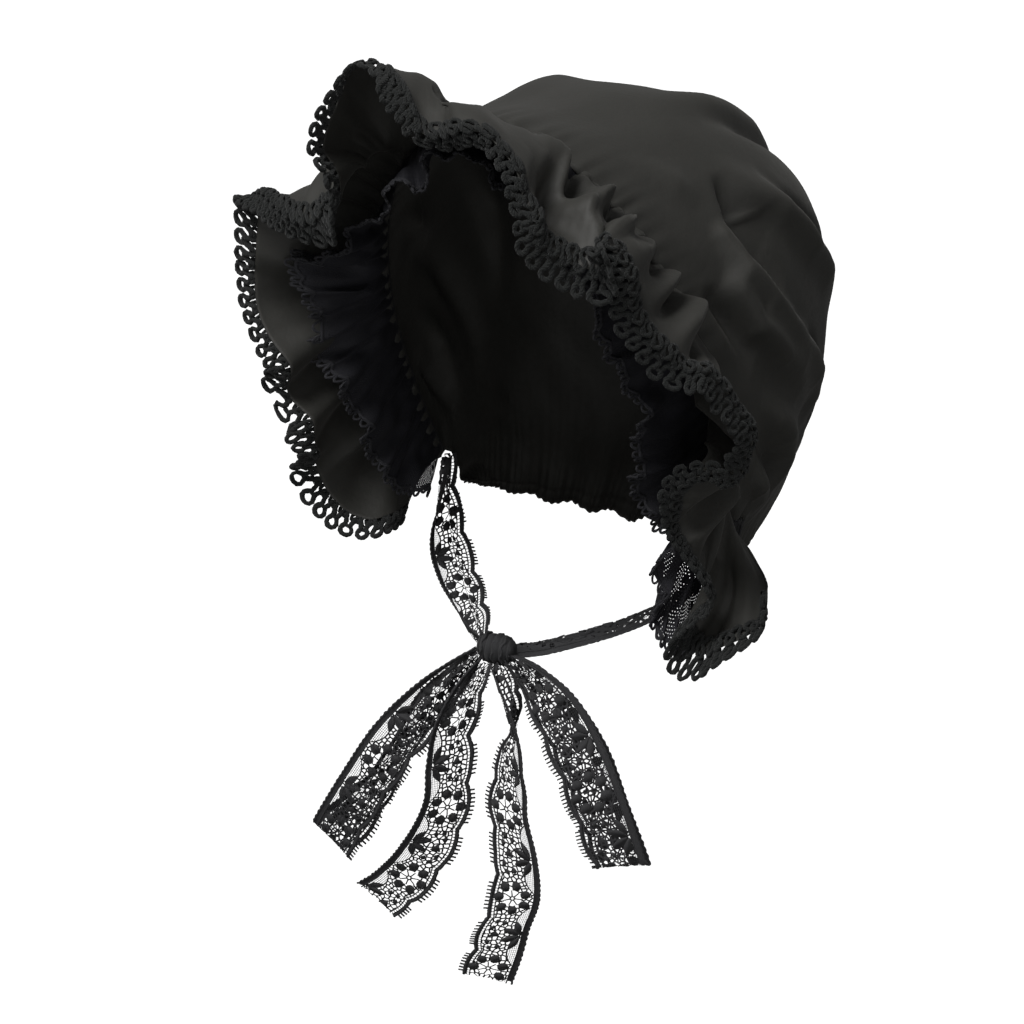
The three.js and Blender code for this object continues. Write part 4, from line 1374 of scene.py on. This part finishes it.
def cord_round_edge(name, chart, steps, sides, radius, seed, wobble=0.0):
    """A cord that repeats a charted curve round the whole ruffle's edge."""
    one = along_chart(chart, steps)
    cells = np.arange(TRIM_SCALLOPS)
    rng = np.random.default_rng(seed)
    jitter = rng.normal(0, wobble, (TRIM_SCALLOPS, 1, 2))
    line = np.repeat(one[None], TRIM_SCALLOPS, 0)
    middle = np.sin(np.linspace(0, math.pi, steps))[None, :, None]
    line[:, :, 1:] += jitter * middle
    line[:, :, 0] += cells[:, None]
    line = line.reshape(-1, 3)
    last = np.array([[TRIM_SCALLOPS + chart["x"][0], chart["y"][-1], chart["z"][-1]]])
    line = np.concatenate([line, last])
    pitch = ruffle.total / TRIM_SCALLOPS
    shift = 0.5 if chart["x"][0] < 0 else 0.0
    u = np.clip((line[:, 0] + shift) / TRIM_SCALLOPS, 0.0005, 0.9995)
    bend = np.radians(smooth(TRIM_BEND, "along", "bend", ruffle.along_at(u)))
    line[:, 1] *= smooth(TRIM_BEND, "along", "spread", ruffle.along_at(u))
    past_hem = np.maximum(line[:, 1], 0)
    distance = ruffle.reach_at(u) - TRIM_WIDTH + line[:, 1] - past_hem * (1 - np.cos(bend))
    centre = ruffle.point_at(u, distance)
    normal = ruffle.normal_at(u, distance)
    height = line[:, 2] + ruffle.lift(u, distance) - past_hem * np.sin(bend)
    centre = centre + normal * height[:, None]
    forward = unit(np.gradient(centre, axis=0))
    side = unit(np.cross(forward, normal))
    up = unit(np.cross(side, forward))
    lumps = 1 + 0.10 * np.random.default_rng(seed + 1).standard_normal(len(centre))
    count = len(centre) - 1

    def place(u_, v_):
        i = np.rint(u_ * count).astype(int)
        around = 2 * math.pi * v_
        r = (radius * lumps[i])[:, None]
        return centre[i] + r * (np.cos(around)[:, None] * side[i] + 0.85 * np.sin(around)[:, None] * up[i])

    cord = grid_piece(name, count, sides, place, (2 * math.pi * radius * MM, count * pitch / steps * 2 * MM), wrap=True)
    return cord


def joined(name, parts):
    """One mesh object from several."""
    made = bmesh.new()
    for part in parts:
        made.from_mesh(part.data)
    mesh = bpy.data.meshes.new(name)
    made.to_mesh(mesh)
    made.free()
    mesh.polygons.foreach_set("use_smooth", np.ones(len(mesh.polygons), bool))
    for part in parts:
        old = part.data
        bpy.data.objects.remove(part)
        bpy.data.meshes.remove(old)
    piece = bpy.data.objects.new(name, mesh)
    bpy.context.scene.collection.objects.link(piece)
    return piece


def make_trim():
    outer = cord_round_edge("outer_loops", OUTER_ARCH, 18, 7, CORD_RADIUS, 41, 0.3)
    inner = cord_round_edge("inner_loops", INNER_ARCH, 13, 7, CORD_RADIUS * 0.85, 43, 0.25)
    loops = dress(joined("picot_loops", [outer, inner]), TRIM)
    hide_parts("edge_trim")
    curls = cord_round_edge("picot_base_curls", BASE_CURL, 18, 6, 1.0, 45, 0.4)
    dress(curls, TRIM)
    return loops, curls


# ---------------------------------------------------------------- lace
FRILL_SCALLOPS = 66
FRILL_LOOPS = 198
FRILL_LOOP = table("""
x y z
0 -0.6 0
0.12 0.6 0
0.18 1.9 0
0.34 3.0 0
0.5 3.3 0
0.66 3.0 0
0.82 1.9 0
0.88 0.6 0
1 -0.6 0
""")


def frill_edge_at(u):
    """Scalloped edge of the frill, as a distance taken off its reach."""
    return 3.4 + 2.6 * (1 - np.abs(np.sin(math.pi * FRILL_SCALLOPS * u)) ** 0.8)


def frill_point(u, distance):
    point = frill.point_at(u, distance)
    out = np.maximum(distance, 0)
    behind = np.minimum(distance, 0)
    waves = 1.8 * soft_noise(u * 74, out / 14, 51) * ease(out, 4, 20)
    gathers = uneven_wave(frill.along_at(u), 60, 52) * 1.7 * np.exp(behind / 0.8 - out / 14)
    flutter = 4.6 * uneven_wave(u, 22, 54) * ease(out, 4, 46) + 1.8 * uneven_wave(u, 51, 55) * ease(out, 6, 36)
    return point + frill.normal_at(u, distance) * (waves + gathers + flutter)[:, None]


def make_frill():
    def place(u, v):
        return frill_point(u, v * (frill.reach_at(u) - frill_edge_at(u) + SEAM_TURNED) - SEAM_TURNED)

    ground = grid_piece("frill_lace_cloth", 1056, 26, place, (0.046, 0.78))
    dress(ground, FRILL_GROUND)
    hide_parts("lace_frill")
    steps = FRILL_SCALLOPS * 16
    u = np.linspace(0.0005, 0.9995, steps + 1)
    distance = frill.reach_at(u) - frill_edge_at(u) - 0.4
    cord = tube_piece("frill_edge_cord", frill_point(u, distance), frill.normal_at(u, distance), 0.95, 6, 53)
    loop = along_chart(FRILL_LOOP, 9)
    across = (loop[None, :, 0] + np.arange(FRILL_LOOPS)[:, None]).ravel() / FRILL_LOOPS
    u = np.clip(across, 0.0005, 0.9995)
    distance = frill.reach_at(u) - frill_edge_at(u) + np.tile(loop[:, 1], FRILL_LOOPS)
    loops = tube_piece("frill_loops", frill_point(u, distance), frill.normal_at(u, distance), 0.7, 5, 57)
    edge = joined("frill_edge_cord", [cord, loops])
    dress(edge, FRILL_THREAD)
    return ground, edge


def tube_piece(name, centre, normal, radius, sides, seed, flat=0.8):
    """A cord along given points, slightly lumpy."""
    forward = unit(np.gradient(centre, axis=0))
    side = unit(np.cross(forward, normal))
    up = unit(np.cross(side, forward))
    count = len(centre) - 1
    radius = np.broadcast_to(radius, len(centre)) * (
        1 + 0.12 * np.random.default_rng(seed).standard_normal(len(centre)))

    def place(u, v):
        i = np.rint(u * count).astype(int)
        around = 2 * math.pi * v
        ring = np.cos(around)[:, None] * side[i] + flat * np.sin(around)[:, None] * up[i]
        return centre[i] + radius[i][:, None] * ring

    length = running_lengths(centre)[-1]
    return grid_piece(name, count, sides, place, (2 * math.pi * float(radius.mean()) * MM, length * MM), wrap=True)


class Ribbon:
    """A ribbon's surface, by millimetres down it and across it from its firm edge."""

    def __init__(self, rows):
        count = len(rows["x"])
        self.rows = dict(rows, at=np.linspace(0, 1, count))
        samples = np.linspace(0, 1, 800)
        centre = np.stack([smooth(self.rows, "at", k, samples) for k in "xyz"], 1)
        self.samples, self.lengths = samples, running_lengths(centre)
        self.length = self.lengths[-1]

    def point(self, s, t):
        at = np.interp(s, self.lengths, self.samples)
        x, y, z, turn, rise, share = [
            smooth(self.rows, "at", k, at) for k in ("x", "y", "z", "turn", "rise", "share")]
        turn, rise = np.radians(turn), np.radians(rise)
        across = np.stack([np.cos(turn) * np.cos(rise), np.sin(turn) * np.cos(rise), np.sin(rise)], 1)
        return np.stack([x, y, z], 1) + across * ((t - RIBBON_WIDTH / 2) * share)[:, None]

    def normal(self, s, t):
        down = self.point(np.minimum(s + 0.5, self.length), t) - self.point(np.maximum(s - 0.5, 0), t)
        over = self.point(s, t + 0.5) - self.point(s, t - 0.5)
        return unit(np.cross(down, over))

    def pleat(self, s, t):
        """Lengthwise pleats that take up the width where the ribbon is drawn in."""
        share = np.clip(smooth(self.rows, "at", "share", np.interp(s, self.lengths, self.samples)), 0.15, 1)
        deep = np.sqrt(np.maximum(1 / share**2 - 1, 0)) * 1.4 * RIBBON_WIDTH * share / (4 * math.pi)
        return deep * np.cos(4 * math.pi * t / RIBBON_WIDTH)

    def place(self, s, t, above=0.0, seed=61):
        flutter = 0.55 * soft_noise(s / 13 + seed, t / 15, seed) + 0.5 * soft_noise(s / 6 + seed, t / 11, seed + 1) * (
            t / RIBBON_WIDTH)
        return self.point(s, t) + self.normal(s, t) * (flutter + self.pleat(s, t) + above)[:, None]


# Motifs of one repeat. kind 1 is a flower dot, 2 a leaf, 3 a triangle, 4 a small diamond.


def motif_chart():
    rows = []
    for k in range(7):
        turn = 2 * math.pi * k / 7
        rows.append((FLOWER_RADIUS * 1.06 * math.sin(turn), FLOWER_AT + FLOWER_RADIUS * math.cos(turn), 2.75, 2.45,
                     math.pi / 2 - turn, "dot"))
    spring = REPEAT / 2
    for lean in (-64, -24, 24, 64):
        a = math.radians(lean)
        out = 5.6
        rows.append((spring + out * math.sin(a), BAND + 0.6 + out * math.cos(a), 4.6, 1.9, math.pi / 2 - a, "leaf"))
    rows.append((spring, 16.6, 3.1, 2.9, math.pi / 2, "triangle"))
    for s, t, tilt in ((spring - 5.2, 19.0, 20), (spring + 5.2, 19.0, -20), (spring - 9.4, 17.2, 40),
                       (spring + 9.4, 17.2, -40), (spring - 8.0, 13.4, 10), (spring + 8.0, 13.4, -10)):
        rows.append((s, t, 1.9, 1.35, math.radians(tilt), "diamond"))
    return rows


def motif_shape(bm, s, t, long, wide, turn, kind):
    """One flat motif in the ribbon's own plane."""
    sides = {"dot": 9, "leaf": 12, "triangle": 3, "diamond": 4}[kind]
    made = bmesh.ops.create_circle(bm, cap_ends=True, radius=1.0, segments=sides)
    for vert in made["verts"]:
        x, y = vert.co.x, vert.co.y
        if kind == "leaf":
            angle = math.atan2(y, x)
            x, y = math.cos(angle), math.sin(angle) * (1 - 0.45 * abs(math.cos(angle)))
        if kind == "triangle":
            x, y = -x, y
        x, y = x * long, y * wide
        vert.co = (
            s + x * math.cos(turn) - y * math.sin(turn),
            t + x * math.sin(turn) + y * math.cos(turn),
            0.0,
        )


def lace_work(name, ribbon, seed):
    """Raised work of a lace ribbon: dots, leaves, cords and picots, mapped on its surface."""
    flat = bmesh.new()
    repeats = int(math.ceil(ribbon.length / REPEAT)) + 1
    start = -REPEAT * 0.4
    for k in range(repeats + 1):
        for s, t, long, wide, turn, kind in motif_chart():
            at = start + k * REPEAT + s
            if 2.5 < at < ribbon.length - 2.5:
                motif_shape(flat, at, t, long, wide, turn, kind)
    bmesh.ops.recalc_face_normals(flat, faces=flat.faces)
    bmesh.ops.solidify(flat, geom=flat.faces[:], thickness=0.45)
    picots = int(ribbon.length / 2.05)
    for k in range(picots):
        s = 1.0 + k * 2.05
        phase = ((s - start) % (REPEAT / 2)) / (REPEAT / 2)
        if 0.36 < phase < 0.64:
            continue
        edge = float(scallop_edge(np.array(s - start)))
        spike = bmesh.ops.create_cone(
            flat, cap_ends=True, segments=5, radius1=0.5, radius2=0.42, depth=2.9,
            matrix=Matrix.Translation((s, edge + 1.1, 0)) @ Matrix.Rotation(-math.pi / 2, 4, "X"))
    mesh = bpy.data.meshes.new(name)
    flat.to_mesh(mesh)
    flat.free()
    spots = np.empty(len(mesh.vertices) * 3)
    mesh.vertices.foreach_get("co", spots)
    spots = spots.reshape(-1, 3)
    corner = np.empty(len(mesh.loops), int)
    mesh.loops.foreach_get("vertex_index", corner)
    mesh.uv_layers.new(name="cloth")
    mesh.uv_layers["cloth"].data.foreach_set("uv", (spots[corner][:, :2] * MM).ravel())
    placed = ribbon.place(np.clip(spots[:, 0], 0, ribbon.length), spots[:, 1], spots[:, 2], seed)
    mesh.vertices.foreach_set("co", (placed * MM).ravel())
    mesh.update()
    work = bpy.data.objects.new(name, mesh)
    bpy.context.scene.collection.objects.link(work)
    s = np.linspace(0.3, ribbon.length - 0.3, int(ribbon.length / 0.9))
    cords = [work]
    for label, t, radius in (
        ("firm", 0.35 + 0.3 * np.sin(s * 2 * math.pi / 3.1), 0.55),
        ("inner", BAND + 0 * s, 0.35),
        ("edge", scallop_edge(s - start) - 0.4, 0.85),
        ("ladder", scallop_edge(s - start) - EDGE_BAND - CHANNEL, 0.35),
    ):
        centre = ribbon.place(s, t, 0.0, seed)
        cords.append(tube_piece(f"{name}_{label}", centre, ribbon.normal(s, t), radius, 5, seed + 3))
    return joined(name, cords)


def make_ribbon(name, rows, seed):
    ribbon = Ribbon(rows)
    start = -REPEAT * 0.4

    ragged = 2.2 if "tail" in name else 0.0

    def place(u, v):
        high = scallop_edge(u * ribbon.length - start)
        t = v * high
        s = u * ribbon.length - ragged * u**20 * np.abs(soft_noise(t / 1.4, t * 0, seed + 5))
        return ribbon.place(s, t, 0.0, seed)

    columns = int(ribbon.length / 0.8)
    ground = grid_piece(f"{name}_lace", columns, 20, place, (RIBBON_WIDTH * MM, ribbon.length * MM))
    cloth = ground.data.uv_layers["cloth"].data
    uv = np.empty(len(cloth) * 2)
    cloth.foreach_get("uv", uv)
    uv = uv.reshape(-1, 2)
    uv[:, 1] *= scallop_edge(uv[:, 0] / MM - start) / RIBBON_WIDTH
    uv[:, 0] -= start * MM
    cloth.foreach_set("uv", uv.ravel())
    dress(ground, FOLDED_GROUND if name == "tie_left" else RIBBON_GROUND)
    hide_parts(name)
    work = dress(lace_work(f"{name}_work", ribbon, seed), RIBBON_THREAD)
    return ground, work


def make_knot():
    def place(u, v):
        turn, down = 2 * math.pi * u, math.pi * v
        x = np.cos(down)
        ring = np.sin(down) ** 0.55
        folds = np.abs(np.sin(2.6 * math.pi * x + 0.5 * np.sin(turn + 0.6) + 0.3 * np.sin(2 * turn)))
        creases = 1 - 0.16 * (1 - folds) ** 3 - 0.05 * np.cos(1.3 * math.pi * x + turn)
        points = np.stack([x, ring * np.cos(turn) * creases, ring * np.sin(turn) * creases], 1)
        return points * KNOT_HALF + KNOT_CENTRE

    wraps = grid_piece("knot_wraps", 96, 64, place, (0.05, 0.05), wrap=True)
    turns = np.linspace(0, 2 * math.pi, 181)
    parts = [wraps]
    for at, seed in ((-0.52, 71), (0.14, 72), (0.6, 73)):
        across = at + 0.05 * np.sin(turns * 7)
        ring = (1 - across**2) ** 0.28 * 1.02
        line = np.stack([across, ring * np.cos(turns), ring * np.sin(turns)], 1) * KNOT_HALF + KNOT_CENTRE
        parts.append(tube_piece("knot_edge", line, unit(line - KNOT_CENTRE), 0.55, 6, seed))
    knot = dress(joined("bow_knot_wraps", parts), RIBBON_THREAD)
    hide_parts("bow_knot")
    return knot


# ---------------------------------------------------------------- camera, light, floor
CAMERA_AZIMUTH = math.radians(30)
CAMERA_ELEVATION = math.radians(24)
CAMERA_DISTANCE = 1400
PIXELS_PER_MM = 2.1
IMAGE_SIDE = 1024
AIM = np.array([0, -15, -163])
AIM_PIXEL = (571, 426.5)
FLOOR_Z = -1.3


def look_axes(azimuth, elevation):
    ca, sa, ce, se = math.cos(azimuth), math.sin(azimuth), math.cos(elevation), math.sin(elevation)
    return np.array([ca, sa, 0]), np.array([-sa * se, ca * se, ce]), np.array([sa * ce, -ca * ce, se])


def make_camera():
    right, up, back = look_axes(CAMERA_AZIMUTH, CAMERA_ELEVATION)
    half = IMAGE_SIDE / 2
    place = (AIM + back * CAMERA_DISTANCE - right * (AIM_PIXEL[0] - half) / PIXELS_PER_MM
             + up * (AIM_PIXEL[1] - half) / PIXELS_PER_MM)
    data = bpy.data.cameras.new("camera")
    data.sensor_width = 36
    data.lens = PIXELS_PER_MM * CAMERA_DISTANCE / IMAGE_SIDE * data.sensor_width
    data.clip_start, data.clip_end = 0.05, 60
    camera = bpy.data.objects.new("camera", data)
    turn = Matrix([(right[i], up[i], back[i]) for i in range(3)]).to_4x4()
    camera.matrix_world = Matrix.Translation(Vector(place) * MM) @ turn
    bpy.context.scene.collection.objects.link(camera)
    bpy.context.scene.camera = camera
    return camera


def area_light(name, azimuth, elevation, distance, size, power, target=(0, 0, -0.18)):
    _, _, back = look_axes(math.radians(azimuth), math.radians(elevation))
    data = bpy.data.lights.new(name, "AREA")
    data.shape = "DISK"
    data.size = size
    data.energy = power
    lamp = bpy.data.objects.new(name, data)
    lamp.location = Vector(target) + Vector(back) * distance
    lamp.rotation_mode = "QUATERNION"
    lamp.rotation_quaternion = Vector(back).to_track_quat("Z", "Y")
    bpy.context.scene.collection.objects.link(lamp)
    return lamp


def soft_sun(name, azimuth, elevation, strength, spread):
    """Even light from a wide patch of the ceiling, spread degrees across."""
    _, _, back = look_axes(math.radians(azimuth), math.radians(elevation))
    data = bpy.data.lights.new(name, "SUN")
    data.energy = strength
    data.angle = math.radians(spread)
    lamp = bpy.data.objects.new(name, data)
    lamp.rotation_mode = "QUATERNION"
    lamp.rotation_quaternion = Vector(back).to_track_quat("Z", "Y")
    bpy.context.scene.collection.objects.link(lamp)
    return lamp


def make_studio():
    ground = bmesh.new()
    bmesh.ops.create_grid(ground, x_segments=1, y_segments=1, size=20,
                          matrix=Matrix.Translation((0, 0, FLOOR_Z)))
    mesh = bpy.data.meshes.new("floor")
    ground.to_mesh(mesh)
    ground.free()
    floor = bpy.data.objects.new("floor", mesh)
    bpy.context.scene.collection.objects.link(floor)
    pale, n, shader = new_material("pale_floor")
    shader.inputs["Base Color"].default_value = (0.42, 0.42, 0.42, 1)
    shader.inputs["Roughness"].default_value = 0.9
    mesh.materials.append(pale)
    floor.visible_diffuse = False
    floor.visible_glossy = False
    soft_sun("key", -18, 60, 7.8, 30)
    soft_sun("front", 10, 10, 0.2, 60)
    soft_sun("side", 60, 10, 1.0, 70)
    area_light("bounce", 25, -14, 1.5, 1.2, 8)
    world = bpy.data.worlds.new("studio")
    world.use_nodes = True
    n = Nodes(world.node_tree)
    toward = n.add("ShaderNodeTexCoord")
    height = n.add("ShaderNodeSeparateXYZ")
    n.link(toward.outputs["Generated"], height.inputs[0])
    sky = n.math("MULTIPLY_ADD", height.outputs["Z"], 0.2, 0.26)
    n.link(sky, world.node_tree.nodes["Background"].inputs["Color"])
    scene = bpy.context.scene
    scene.world = world
    scene.view_settings.view_transform = "Standard"


make_camera()
make_studio()
ties = {"tie_left": 61, "tie_right": 67}
for name, seed in {**ties, "bow_loop_left": 71, "bow_loop_right": 77, "bow_tail_right": 83, "bow_tail_left": 89}.items():
    make_ribbon(name, RIBBONS[name], seed)
make_knot()
crown = make_crown()
add_wall(crown, COTTON_WALL)
make_ruffle()
make_trim()
make_frill()
